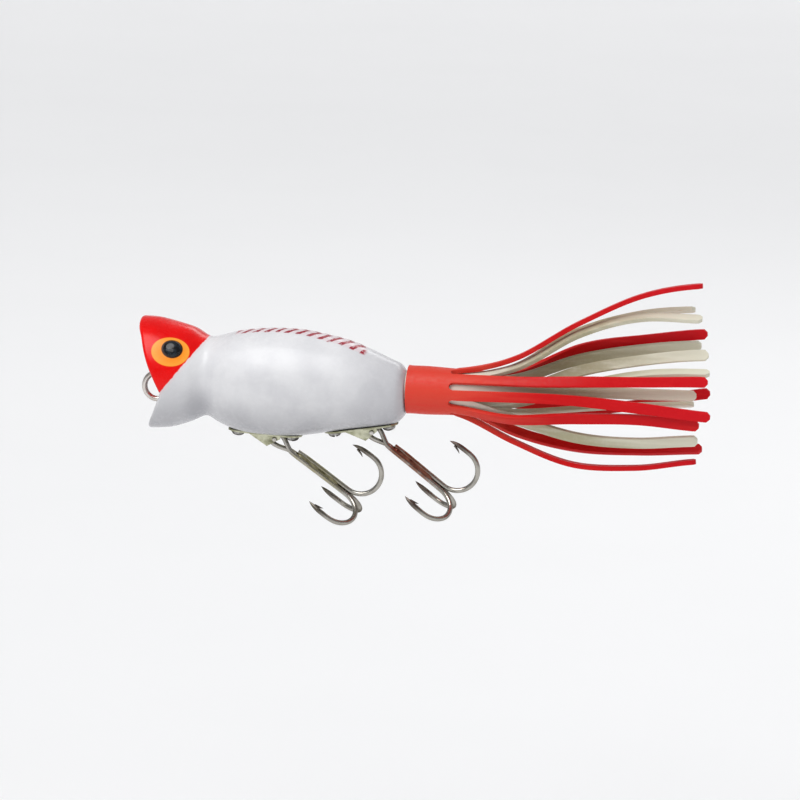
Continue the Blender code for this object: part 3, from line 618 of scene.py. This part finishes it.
def rubber_surface(name, stretched, deep, tip, pale, subsurface, light):
    """Soft rubber: paler where it is stretched over the stem, streaked along the strands."""
    made = Surface(name, deep, 0.45, Subsurface_Weight=subsurface, Subsurface_Scale=0.0012)
    made.set("Subsurface Radius", light)
    made.set("Specular IOR Level", 0.2)
    x, _, _ = made.place()
    streaks = made.noise(0.8, 4, (0.08, 1, 1))
    mottle = made.noise(1.3, 4)
    back = made.maths("SUBTRACT", x, TAIL_X + SLEEVE_LENGTH)
    uneven = made.maths("MULTIPLY", made.maths("SUBTRACT", streaks, 0.5), 24.0)
    loosening = made.maths("ADD", back, uneven)
    colour = made.mix(made.ramp(loosening, -1.0, 22.0), stretched, deep)
    colour = made.mix(made.ramp(loosening, 24.0, 52.0), colour, tip)
    colour = made.mix(made.ramp(streaks, 0.52, 0.78, 0.0, 0.35), colour, pale)
    colour = made.mix(made.ramp(mottle, 0.45, 0.75, 0.0, 0.14), colour, pale)
    made.set("Base Color", colour)
    made.set("Roughness", made.ramp(mottle, 0.3, 0.7, 0.36, 0.55))
    made.bump(made.noise(1.8, 4, (0.4, 1, 1)), 0.03, 0.5)
    return made.material


# ---------------------------------------------------------------- body


def section_table():
    rows = []
    steps = 600
    for step in range(steps + 1):
        rows.append([curve_through([s[c] for s in BODY_STATIONS], step / steps) for c in range(4)])
    table = np.array(rows)
    xs = table[:, 0] * BODY_LENGTH - LIP_AHEAD
    tops = AXIS_RISE + table[:, 1] * BODY_HEIGHT
    bottoms = AXIS_RISE - table[:, 2] * BODY_HEIGHT
    return xs, tops, bottoms, table[:, 3] * BODY_WIDTH


SECTIONS = section_table()


def section(x):
    return [np.interp(x, SECTIONS[0], column) for column in SECTIONS[1:]]


def rim_table():
    """The mouth rim's x for each height, smooth above and below its notch."""
    heights, places = [], []
    for profile in (RIM_LOWER[::-1], RIM_UPPER[::-1]):
        for step in range(80):
            share = step / 80
            places.append(curve_through([p[0] for p in profile], share) * BODY_LENGTH - LIP_AHEAD)
            heights.append(AXIS_RISE + curve_through([p[1] for p in profile], share) * BODY_HEIGHT)
    return heights, places


RIM = rim_table()


def wall_point(x, angle, inset=0.0, scale=1.0):
    top, bottom, half = section(x)
    middle, rise = (top + bottom) / 2, (top - bottom) / 2
    y = (half - inset) * scale * math.cos(angle)
    z = middle + (rise - inset) * scale * math.sin(angle)
    return Vector((x, y, z))


def rim_x(angle):
    x = 0.0
    for _ in range(12):
        x = 0.5 * x + 0.5 * float(np.interp(wall_point(x, angle).z, *RIM))
    return x


def cup_scale(x):
    share = min(max((x + LIP_AHEAD) / CUP_DEPTH, 0.0), 1.0)
    return (1 - share**CUP_SQUARENESS) ** (1 / CUP_SQUARENESS)


def body_line(angle):
    """One side-to-front line of the body: tail cap, outer wall, rounded lip, then down the cup."""
    radius = RIM_WALL / 2
    edge = rim_x(angle) + radius
    line = []
    tail = wall_point(TAIL_X, angle)
    centre = Vector((TAIL_X, 0, AXIS_RISE - TAIL_CAP_DROP))
    for share, out in ((0.45, 0.55), (0.75, 0.5), (0.9, 0.34), (0.97, 0.16)):
        point = centre.lerp(tail, share)
        point.x += out
        line.append(point)
    flat_steps = 150
    start = 7.0
    for step in range(flat_steps):
        share = step / flat_steps
        line.append(wall_point(TAIL_X + (start - TAIL_X) * (1 - (1 - share) ** 1.05), angle))
    head_steps = 34
    for step in range(head_steps + 1):
        line.append(wall_point(start + (edge - start) * step / head_steps, angle))
    outer = wall_point(edge, angle)
    inner = wall_point(edge, angle, RIM_WALL, cup_scale(edge))
    middle, half = (outer + inner) / 2, (outer - inner) / 2
    forward = Vector((-1, 0, 0))
    forward = (forward - half.normalized() * forward.dot(half.normalized())).normalized()
    lip_steps = 9
    for step in range(1, lip_steps):
        turn = math.pi * step / lip_steps
        line.append(middle + half * math.cos(turn) + forward * radius * math.sin(turn))
    first = math.asin(max((edge + LIP_AHEAD) / CUP_DEPTH, 0.01) ** (CUP_SQUARENESS / 2))
    cup_steps = 36
    for step in range(cup_steps):
        turn = first + (math.pi / 2 - first) * step / cup_steps
        x = math.sin(turn) ** (2 / CUP_SQUARENESS) * CUP_DEPTH - LIP_AHEAD
        line.append(wall_point(x, angle, RIM_WALL, math.cos(turn) ** (2 / CUP_SQUARENESS)))
    return line


def body_half(side):
    """A closed half of the body: its skin and the flat face on the seam."""
    columns = 64
    lines = []
    for column in range(columns + 1):
        angle = -math.pi / 2 + math.pi * column / columns
        line = body_line(angle)
        for point in line:
            point.y = side * (max(point.y, 0.0) + SEAM_HALF_GAP)
        if column in (0, columns):
            for point in line:
                point.y = side * SEAM_HALF_GAP
        lines.append(line)
    count = len(lines[0])
    points = [point for line in lines for point in line]
    tail = len(points)
    points.append(Vector((TAIL_X + 0.6, side * SEAM_HALF_GAP, AXIS_RISE - TAIL_CAP_DROP)))
    cup = len(points)
    top, bottom, _ = section(CUP_DEPTH - LIP_AHEAD)
    points.append(Vector((CUP_DEPTH - LIP_AHEAD, side * SEAM_HALF_GAP, (top + bottom) / 2)))
    faces = []
    for column in range(columns):
        near, far = column * count, (column + 1) * count
        for row in range(count - 1):
            faces.append((near + row, near + row + 1, far + row + 1, far + row))
        faces.append((tail, near, far))
        faces.append((cup, far + count - 1, near + count - 1))
    first = list(range(count))
    last = list(range(columns * count, (columns + 1) * count))
    faces.append(tuple([tail] + first + [cup] + last[::-1]))
    name = "shell_left" if side < 0 else "shell_right"
    return object_from(name, points, faces)


def eye_pupil(side):
    """The raised pupil: a flat dome sunk a little into the head."""
    normal = Vector(EYE_NORMAL).normalized()
    along = Vector((1, 0, 0))
    along = (along - normal * along.dot(normal)).normalized()
    across = normal.cross(along)
    rings = []
    for step in range(15):
        turn = math.pi / 2 * step / 15
        out, up = math.cos(turn), PUPIL_RISE * math.sin(turn) - 0.28
        ring = []
        for corner in range(48):
            angle = math.tau * corner / 48
            offset = along * PUPIL[0] * math.cos(angle) + across * PUPIL[1] * math.sin(angle)
            point = Vector(PUPIL_CENTRE) + offset * out + normal * up
            ring.append((point.x, side * point.y, point.z))
        rings.append(ring)
    into_head = Vector((normal.x, side * normal.y, normal.z)) * 0.6
    rings.insert(0, [Vector(point) - into_head for point in rings[0]])
    dome = skin("pupil_left" if side < 0 else "pupil_right", rings)
    shade(dome, 60)
    return dome


def seat_matrix(prefix):
    """From a hanger seat's own millimetres (x along the strap, z into the body) to the frame."""
    middle = {}
    for part in ("_pin", "_screw_front", "_screw_rear"):
        low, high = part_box(prefix + "_hanger" + part)
        middle[part] = (Vector(low) + Vector(high)) / 2
    along = (middle["_screw_rear"] - middle["_screw_front"]).normalized()
    side = Vector((0, 1, 0))
    up = along.cross(side)
    origin = middle["_pin"] - along * HINGE_AT[0] * MM + up * HINGE_AT[1] * MM
    matrix = Matrix((along, side, up)).transposed().to_4x4()
    matrix.translation = origin
    return matrix


SEATS = {prefix: seat_matrix(prefix) for prefix in ("front", "rear")}


def make_body():
    surface = shell_surface()
    for side, node in ((-1, "body_left_half"), (1, "body_right_half")):
        half = body_half(side)
        cutters = []
        for seat in SEATS.values():
            low = (-SEAT_REACH, -SEAT_HALF_WIDTH, -6)
            high = (SCREW_SPACING + SEAT_REACH, SEAT_HALF_WIDTH, 0)
            cutters.append(box_cutter(low, high, seat))
            low = (HINGE_AT[0] - POCKET_HALF_LENGTH, -POCKET_HALF_WIDTH, -1)
            high = (HINGE_AT[0] + POCKET_HALF_LENGTH, POCKET_HALF_WIDTH, EYE_POCKET)
            cutters.append(box_cutter(low, high, seat))
            for at in (0.0, SCREW_SPACING):
                ends = (at, 0, -2), (at, 0, SCREW_LENGTH)
                cutters.append(rod_cutter(*ends, SCREW_SHANK + HOLE_ROOM, seat))
        identity = Matrix.Identity(4)
        ends = (0, 0, 0), (TIE_HOLE_END, 0, 0)
        cutters.append(rod_cutter(*ends, TIE_WIRE + HOLE_ROOM, identity))
        ends = (TAIL_X - 3, 0, AXIS_RISE), (TAIL_X + 3, 0, AXIS_RISE)
        cutters.append(rod_cutter(*ends, STEM_HOLE, identity))
        cut(half, cutters)
        shade(half, 32)
        piece(half, surface, replaces=(node,))
    pupil = pupil_surface()
    for side in (-1, 1):
        piece(eye_pupil(side), pupil)


# ---------------------------------------------------------------- line tie and stem


def make_line_tie():
    """A screw eye of one wire, whose ring ends against its own shank."""
    radius = (TIE_RING - TIE_WIRE) / 2
    start = math.degrees(TIE_WIRE * 1.25 / radius)
    points = [
        (TIE_RING / 2 + TIE_SHANK, 0, 0),
        (8, 0, 0),
        (radius * 1.75, 0, 0),
        (radius * 1.38, 0, radius * 0.05),
    ]
    turn = 360 - 1.7 * start
    for step in range(23):
        angle = math.radians(start * 0.75 + turn * step / 22)
        points.append((radius * math.cos(angle), 0, radius * math.sin(angle)))
    places, _ = resample(points, 0.16)
    radii = [TIE_WIRE / 2] * len(places)
    radii[-1] *= 0.82
    ring = sweep("line_tie_wire", places, radii, 24)
    shade(ring, 50)
    surface = nickel_surface("tie_nickel", (0.70, 0.66, 0.62), (0.42, 0.33, 0.26))
    piece(ring, surface, replaces=("line_tie",))


# ---------------------------------------------------------------- hangers


def refined(node, surface, width, body="body"):
    """A copy of a CAD solid with its flat faces joined up and its edges rounded."""
    source = frame["nodes"][node]
    obj = bpy.data.objects.new(node + "_finished", source.data.copy())
    bpy.context.scene.collection.objects.link(obj)
    shape = bmesh.new()
    shape.from_mesh(obj.data)
    bmesh.ops.remove_doubles(shape, verts=shape.verts[:], dist=1e-7)
    flat = math.radians(1)
    bmesh.ops.dissolve_limit(shape, angle_limit=flat, verts=shape.verts[:], edges=shape.edges[:])
    for edge in shape.edges:
        edge.smooth = True
    for face in shape.faces:
        face.smooth = True
    shape.to_mesh(obj.data)
    shape.free()
    round_edges(obj, width, 2, 28)
    shade(obj, 40)
    piece(obj, surface, body, (node,))


def slotted_screw(name, prefix, at, slot_angle, surface):
    """A round-head screw with a smooth dome close to the design's faceted one."""
    top = STRAP_THICKNESS + 2 * FIT_GAP
    head, shank = SCREW_HEAD / 2, SCREW_SHANK / 2
    profile = [(0.02, -top - SCREW_HEAD_HEIGHT)]
    for step in range(1, 11):
        turn = math.pi / 2 * step / 10
        height = top + DOME_FOOT + (SCREW_HEAD_HEIGHT - DOME_FOOT) * math.cos(turn)
        profile.append((head * math.sin(turn), -height))
    profile += [(head, -top - 0.08), (head * 0.96, -top)]
    profile += [(shank, -top), (shank, SCREW_LENGTH - 1), (0.3, SCREW_LENGTH)]
    rings = []
    for radius, height in profile:
        corners = [math.tau * corner / 48 for corner in range(48)]
        rings.append([(radius * math.cos(a), radius * math.sin(a), height) for a in corners])
    screw = skin(name, rings)
    spin = Matrix.Rotation(math.radians(slot_angle), 4, "Z")
    low = (-3, -SLOT_HALF_WIDTH, -top - SCREW_HEAD_HEIGHT - 1)
    high = (3, SLOT_HALF_WIDTH, -top - SCREW_HEAD_HEIGHT + SLOT_DEPTH)
    cut(screw, [box_cutter(low, high, spin)])
    round_edges(screw, 0.05, 2, 50)
    screw.data.transform(SEATS[prefix] @ Matrix.Translation((at * MM, 0, 0)))
    shade(screw, 40)
    piece(screw, surface, replaces=(name.replace("_finished", ""),))


def make_hangers():
    plate, steel = stamped_surface(), screw_surface()
    pin = nickel_surface("pin_steel", (0.6, 0.58, 0.54), (0.35, 0.3, 0.24))
    for prefix in ("front", "rear"):
        refined(prefix + "_hanger", plate, 0.07)
        refined(prefix + "_hanger_pin", pin, 0.12, prefix + "_hook_pin")
        for (at, end), angle in zip(((0.0, "front"), (SCREW_SPACING, "rear")), SLOT_ANGLES[prefix]):
            slotted_screw(f"{prefix}_hanger_screw_{end}_finished", prefix, at, angle, steel)


# ---------------------------------------------------------------- treble hooks


def hook_points(direction, shank_offset):
    """The bend and the straight point of one hook, from the shank's end on."""
    side, up = direction
    radius = (HOOK_GAPE - shank_offset) / 2
    centre = shank_offset + radius
    points = []
    for step in range(13):
        angle = math.pi * step / 12
        along = SHANK_END + radius * math.sin(angle)
        out = centre - radius * math.cos(angle)
        points.append((along, side * out, up * out))
    for share, inward in ((0.25, 0.01), (0.45, 0.05), (0.62, 0.13), (0.8, 0.28), (0.9, 0.42), (1.0, 0.6)):
        along = SHANK_END + (POINT_AT - SHANK_END) * share
        points.append((along, side * (HOOK_GAPE - inward), up * (HOOK_GAPE - inward)))
    return points


POINT_TAPER = [1.0] * 15 + [0.97, 0.86, 0.6, 0.36, 0.03]
# Each point of a barb: along the shank, how far inside the hook's point, and its radius
BARB = ((15.6, 0.72, 0.2), (16.3, 0.86, 0.22), (17.0, 1.1, 0.16), (17.55, 1.42, 0.03))


def barb(direction):
    """A sliver cut up from the inner side of the point, facing back down the hook."""
    side, up = direction
    places, radii = [], []
    for along, inward, radius in BARB:
        out = HOOK_GAPE - inward
        places.append((along, side * out, up * out))
        radii.append(radius)
    places, radii = resample(places, 0.2, radii)
    return sweep("barb", places, radii, 10)


def wire_piece(name, points, shares, barbs):
    places, radii = resample(points, 0.3, shares)
    wire = sweep(name, places, [max(r, 0.02) * HOOK_WIRE / 2 for r in radii], 18)
    cut(wire, barbs, "UNION")
    shade(wire, 50)
    return wire


def treble_matrix(prefix):
    """From a treble's own metres (x along the shank, z towards its upper hook) to the frame."""
    joints = {joint["name"]: joint for joint in frame["record"]["behaviour"]["joints"]}
    sway = joints[prefix + "_treble_sway"]
    up, side = Vector(sway["axis"]).normalized(), Vector((0, 1, 0))
    matrix = Matrix((side.cross(up), side, up)).transposed().to_4x4()
    matrix.translation = Vector(sway["pos_m"])
    return matrix


def make_treble(prefix, stained, dark, pale):
    """A double hook, whose wire also makes the eye, with a single hook brazed along it."""
    pitch = (HOOK_WIRE + HOOK_WIRE_GAP) / math.sqrt(3)
    eye = (HOOK_EYE - HOOK_WIRE) / 2
    body = prefix + "_treble"
    matrix = treble_matrix(prefix)

    up = (0.0, 1.0)
    points = [(EYE_NECK + 1.2, 0, pitch), (9, 0, pitch), (SHANK_END - 4, 0, pitch)]
    points += hook_points(up, pitch)
    single = wire_piece(prefix + "_hook_single", points, [0.75, 1.0, 1.0] + POINT_TAPER[1:], [barb(up)])

    legs, directions = {}, {}
    for side in (-1, 1):
        direction = (side * math.sin(math.radians(120)), math.cos(math.radians(120)))
        directions[side] = direction
        leg_side, leg_up = direction[0] * pitch, direction[1] * pitch
        shank = [(along, leg_side, leg_up) for along in (SHANK_END - 4, 10, EYE_NECK + 0.6)]
        neck = []
        for step in range(1, 5):
            share = smooth(0, 1, step / 4)
            along = EYE_NECK + 0.6 + (0.35 - EYE_NECK - 0.6) * step / 4
            neck.append((along, leg_side * (1 - share), leg_up + (-side * eye - leg_up) * share))
        legs[side] = hook_points(direction, pitch)[::-1] + shank + neck
    arc = [(-eye * math.sin(math.pi * s / 8), 0, eye * math.cos(math.pi * s / 8)) for s in range(1, 8)]
    points = legs[-1] + arc + legs[1][::-1]
    taper = POINT_TAPER[1:]
    plain = [EYE_WIRE_SHARE] * (len(points) - 2 * len(taper))
    barbs = [barb(directions[side]) for side in (-1, 1)]
    double = wire_piece(prefix + "_hook_double", points, taper[::-1] + plain + taper, barbs)

    lumps, radii = [], []
    for step in range(41):
        share = step / 40
        lumps.append((EYE_NECK + 0.9 + (BRAZE_END - EYE_NECK - 0.9) * share, 0, 0))
        ends = min(share, 1 - share) * 40
        ripple = 0.02 * math.sin(share * 17) + 0.015 * math.sin(share * 29 + 1.3)
        radii.append((BRAZE_RADIUS + ripple) * min(0.25 + ends * 0.2, 1.0))
    fillet = sweep(prefix + "_hook_braze", lumps, radii, 20)
    shade(fillet, 60)

    for obj in (single, double, fillet):
        obj.data.transform(matrix)
    hook = hook_surface(prefix + "_hook_nickel", matrix, stained)
    braze = braze_surface(prefix + "_braze", dark, pale)
    piece(single, hook, body, (prefix + "_treble_single",))
    piece(double, hook, body, (prefix + "_treble_double",))
    piece(fillet, braze, body)


def make_trebles():
    make_treble("front", (0.36, 0.33, 0.21), (0.19, 0.17, 0.09), (0.36, 0.33, 0.20))
    make_treble("rear", (0.26, 0.12, 0.08), (0.11, 0.03, 0.02), (0.26, 0.11, 0.07))


# ---------------------------------------------------------------- skirt


def strand_line(angle, radius, start_x, length, quarters):
    """A strand's middle line, as a place for each share of its length."""
    ys = [-radius * math.cos(angle)] + [y for y, _ in quarters]
    zs = [radius * math.sin(angle)] + [z for _, z in quarters]

    def place(t):
        return Vector((start_x + length * t, curve_through(ys, t), AXIS_RISE + curve_through(zs, t)))

    return place


def strand_rows(number, angle, radius, half_width, start_x, strand, columns):
    """Rows of points across one strand: it untwists, flattens and waves a little on its way back."""
    length, twist, *quarters = strand
    place = strand_line(angle, radius, start_x, length, quarters)
    around = Vector((0, math.sin(angle), math.cos(angle)))
    outward_at_start = Vector((0, -math.cos(angle), math.sin(angle)))
    rows = 80
    blunt = 0.9
    for row in range(1, rows + 1):
        t = row / rows
        left = length * (1 - t)
        along = (place(min(t + 0.01, 1)) - place(max(t - 0.01, 0))).normalized()
        across = (around - along * around.dot(along)).normalized()
        across = Matrix.Rotation(math.radians(twist) * smooth(0.05, 0.75, t), 3, along) @ across
        outward = along.cross(across)
        if row < 3 and outward.dot(outward_at_start) < 0:
            outward = -outward
        narrow = math.sqrt(max(1 - max(1 - left / blunt, 0) ** 2, 0.12))
        flare = 1 + 0.07 * smooth(0.15, 0.6, t) + 0.03 * math.sin(11 * t + number * 2.3)
        loose = smooth(0.05, 0.4, t)
        wave = 0.10 * math.sin(10 * t + number * 1.9) * loose
        side_wave = 0.09 * math.sin(7 * t + number * 2.7) * loose
        centre = place(t) + outward * wave + across * side_wave
        points = []
        for column in range(columns + 1):
            share = 2 * column / columns - 1
            sag = half_width**2 / (2 * radius) * share**2 * (1 - smooth(0, 0.6, t) * 0.85)
            points.append(centre + across * half_width * narrow * flare * share - outward * sag)
        yield points


def skirt_layer(name, radius, thickness, slit, front, phase, strands):
    """A sleeve cut into strands by slits with round ends, as a thin sheet thickened both ways."""
    slit_x = TAIL_X + SLEEVE_LENGTH
    pitch = math.tau / STRAND_COUNT
    slit_half = slit / radius / 2
    strand_half = pitch / 2 - slit_half
    strand_columns, slit_columns = 6, 6
    columns = []
    for number in range(STRAND_COUNT):
        for column in range(strand_columns + 1):
            angle = phase + number * pitch + strand_half * (2 * column / strand_columns - 1)
            columns.append((angle, slit_x, number))
        for column in range(1, slit_columns):
            across = -math.cos(math.pi * column / slit_columns)
            angle = phase + (number + 0.5) * pitch + slit_half * across
            columns.append((angle, slit_x - slit / 2 * 1.2 * math.sqrt(1 - across * across), None))
    around = len(columns)
    rows = 26
    points, faces = [], []
    for row in range(rows + 1):
        share = row / rows
        for angle, end, _ in columns:
            x = front + (end - front) * share
            roll = 0.12 * math.exp(-((x - front) / 0.7) ** 2)
            stretch = 0.10 * math.sin(math.pi * min((x - front) / 7.5, 1.0))
            out = radius + roll + stretch - 0.10 * smooth(7, 10.5, x - front)
            points.append((x, -out * math.cos(angle), AXIS_RISE + out * math.sin(angle)))
    for row in range(rows):
        for column in range(around):
            following = (column + 1) % around
            near, far = row * around, (row + 1) * around
            faces.append((near + column, near + following, far + following, far + column))
    last = rows * around
    half_width = radius * math.sin(strand_half)
    for number, strand in enumerate(strands):
        edge = [last + place for place, column in enumerate(columns) if column[2] == number]
        angle = phase + number * pitch
        for row in strand_rows(number, angle, radius, half_width, slit_x, strand, strand_columns):
            new = list(range(len(points), len(points) + len(row)))
            points.extend(row)
            for column in range(strand_columns):
                faces.append((edge[column], edge[column + 1], new[column + 1], new[column]))
            edge = new
    layer = object_from(name, points, faces, closed=False)
    thicken = layer.modifiers.new("thickness", "SOLIDIFY")
    thicken.thickness = thickness * MM
    thicken.offset = 0.0
    apply_modifiers(layer)
    round_edges(layer, 0.2, 3, 40)
    shade(layer, 50)
    return layer


def make_skirt():
    red = rubber_surface(
        "red_rubber",
        stretched=(0.68, 0.055, 0.032),
        deep=(0.56, 0.0, 0.002),
        tip=(0.58, 0.0, 0.006),
        pale=(0.74, 0.02, 0.016),
        subsurface=0.08,
        light=(1.0, 0.12, 0.08),
    )
    cream = rubber_surface(
        "cream_rubber",
        stretched=(0.80, 0.79, 0.69),
        deep=(0.41, 0.38, 0.25),
        tip=(0.68, 0.66, 0.54),
        pale=(0.72, 0.71, 0.59),
        subsurface=0.15,
        light=(1.0, 0.9, 0.7),
    )
    outer_phase = math.radians(STRAND_PHASE)
    inner_phase = outer_phase + math.pi / STRAND_COUNT
    front = TAIL_X + SLEEVE_OFF_BODY
    outer = ("skirt_red", OUTER_RADIUS, OUTER_THICKNESS, OUTER_SLIT)
    inner = ("skirt_cream", INNER_RADIUS, INNER_THICKNESS, INNER_SLIT)
    outer = skirt_layer(*outer, front + INNER_LEAD, outer_phase, OUTER_STRANDS)
    inner = skirt_layer(*inner, front, inner_phase, INNER_STRANDS)
    piece(outer, red, replaces=("skirt_outer",))
    piece(inner, cream, replaces=("skirt_inner",))
    stem = frame["nodes"]["skirt_post"]
    stem.data.materials.clear()
    stem.data.materials.append(stem_surface())


# ---------------------------------------------------------------- studio

CAMERA_TARGET = (53.4, 0.0, -0.1)
CAMERA_DISTANCE = 1.0
CAMERA_AZIMUTH = 8.0
CAMERA_ELEVATION = 11.0
CAMERA_ROLL = 1.76
VIEW_WIDTH = 800 * 0.2165  # millimetres seen across the picture
SENSOR_WIDTH = 36.0
LIGHT_TARGET = (0.05, 0, 0)  # metres, as are the floor's and the lights' sizes
FLOOR_DROP = 130.0  # millimetres below the line tie
FLOOR_CENTRE = 0.5  # radius of the flat middle
FLOOR_RADIUS = 2.6  # where the floor starts to curve up
FLOOR_CURVE = 0.8
WORLD_STRENGTH = 0.36
SUN_STRENGTH = 1.7
SUN_SPREAD = 38.0  # degrees


def make_camera():
    azimuth, elevation = math.radians(CAMERA_AZIMUTH), math.radians(CAMERA_ELEVATION)
    back = Vector((
        math.sin(azimuth) * math.cos(elevation),
        -math.cos(azimuth) * math.cos(elevation),
        math.sin(elevation),
    ))
    camera = bpy.data.objects.new("camera", bpy.data.cameras.new("camera"))
    bpy.context.scene.collection.objects.link(camera)
    camera.location = Vector(CAMERA_TARGET) * MM + back * CAMERA_DISTANCE
    turn = (-back).to_track_quat("-Z", "Y").to_matrix().to_4x4()
    turn = turn @ Matrix.Rotation(math.radians(CAMERA_ROLL), 4, "Z")
    camera.rotation_euler = turn.to_euler()
    camera.data.sensor_width = SENSOR_WIDTH
    camera.data.lens = SENSOR_WIDTH * CAMERA_DISTANCE / (VIEW_WIDTH * MM)
    camera.data.clip_start = 0.05
    camera.data.clip_end = 50.0
    bpy.context.scene.camera = camera


def make_floor():
    """A wide pale floor that curves up into a low wall all the way round."""
    profile = [(FLOOR_CENTRE, 0.0), (FLOOR_RADIUS, 0.0)]
    for step in range(1, 13):
        turn = math.pi / 2 * step / 12
        radius = FLOOR_RADIUS + FLOOR_CURVE * math.sin(turn)
        profile.append((radius, FLOOR_CURVE * (1 - math.cos(turn))))
    profile.append((3.4, 1.0))
    rings = []
    for radius, height in profile:
        corners = [math.tau * corner / 96 for corner in range(96)]
        outline = [(1000 * radius * math.cos(a), 1000 * radius * math.sin(a)) for a in corners]
        rings.append([(x, y, 1000 * height) for x, y in outline])
    floor = skin("floor", rings, ends=(True, False))
    floor.data.flip_normals()
    floor.location = (0.05, 0.0, -FLOOR_DROP * MM)
    floor.data.shade_smooth()
    made = Surface("pale_floor", (0.93, 0.93, 0.935), 0.6)
    made.place()
    colour = made.mix(made.noise(0.01, 2), (0.92, 0.92, 0.925), (0.945, 0.945, 0.95))
    made.set("Base Color", colour)
    floor.data.materials.append(made.material)


def aimed(light, place):
    bpy.context.scene.collection.objects.link(light)
    light.location = place
    target = Vector(LIGHT_TARGET) - Vector(place)
    light.rotation_euler = target.to_track_quat("-Z", "Y").to_euler()


def softbox(name, place, size, power):
    data = bpy.data.lights.new(name, "AREA")
    data.shape = "RECTANGLE"
    data.size, data.size_y = size
    data.energy = power
    aimed(bpy.data.objects.new(name, data), place)


def make_light():
    world = bpy.data.worlds.new("studio")
    bpy.context.scene.world = world
    world.use_nodes = True
    background = world.node_tree.nodes["Background"].inputs
    background["Color"].default_value = (0.97, 0.98, 1.0, 1.0)
    background["Strength"].default_value = WORLD_STRENGTH
    data = bpy.data.lights.new("overhead", "SUN")
    data.energy = SUN_STRENGTH
    data.angle = math.radians(SUN_SPREAD)
    aimed(bpy.data.objects.new("overhead", data), (-0.15, -0.45, 1.0))
    softbox("front_box", (-0.15, -0.85, 0.75), (0.75, 0.4), 2.6)
    softbox("back_box", (0.3, 0.8, 0.55), (0.6, 0.2), 1.2)
    bpy.context.scene.view_settings.view_transform = "Standard"


make_camera()
make_floor()
make_light()
make_body()
make_line_tie()
make_hangers()
make_trebles()
make_skirt()
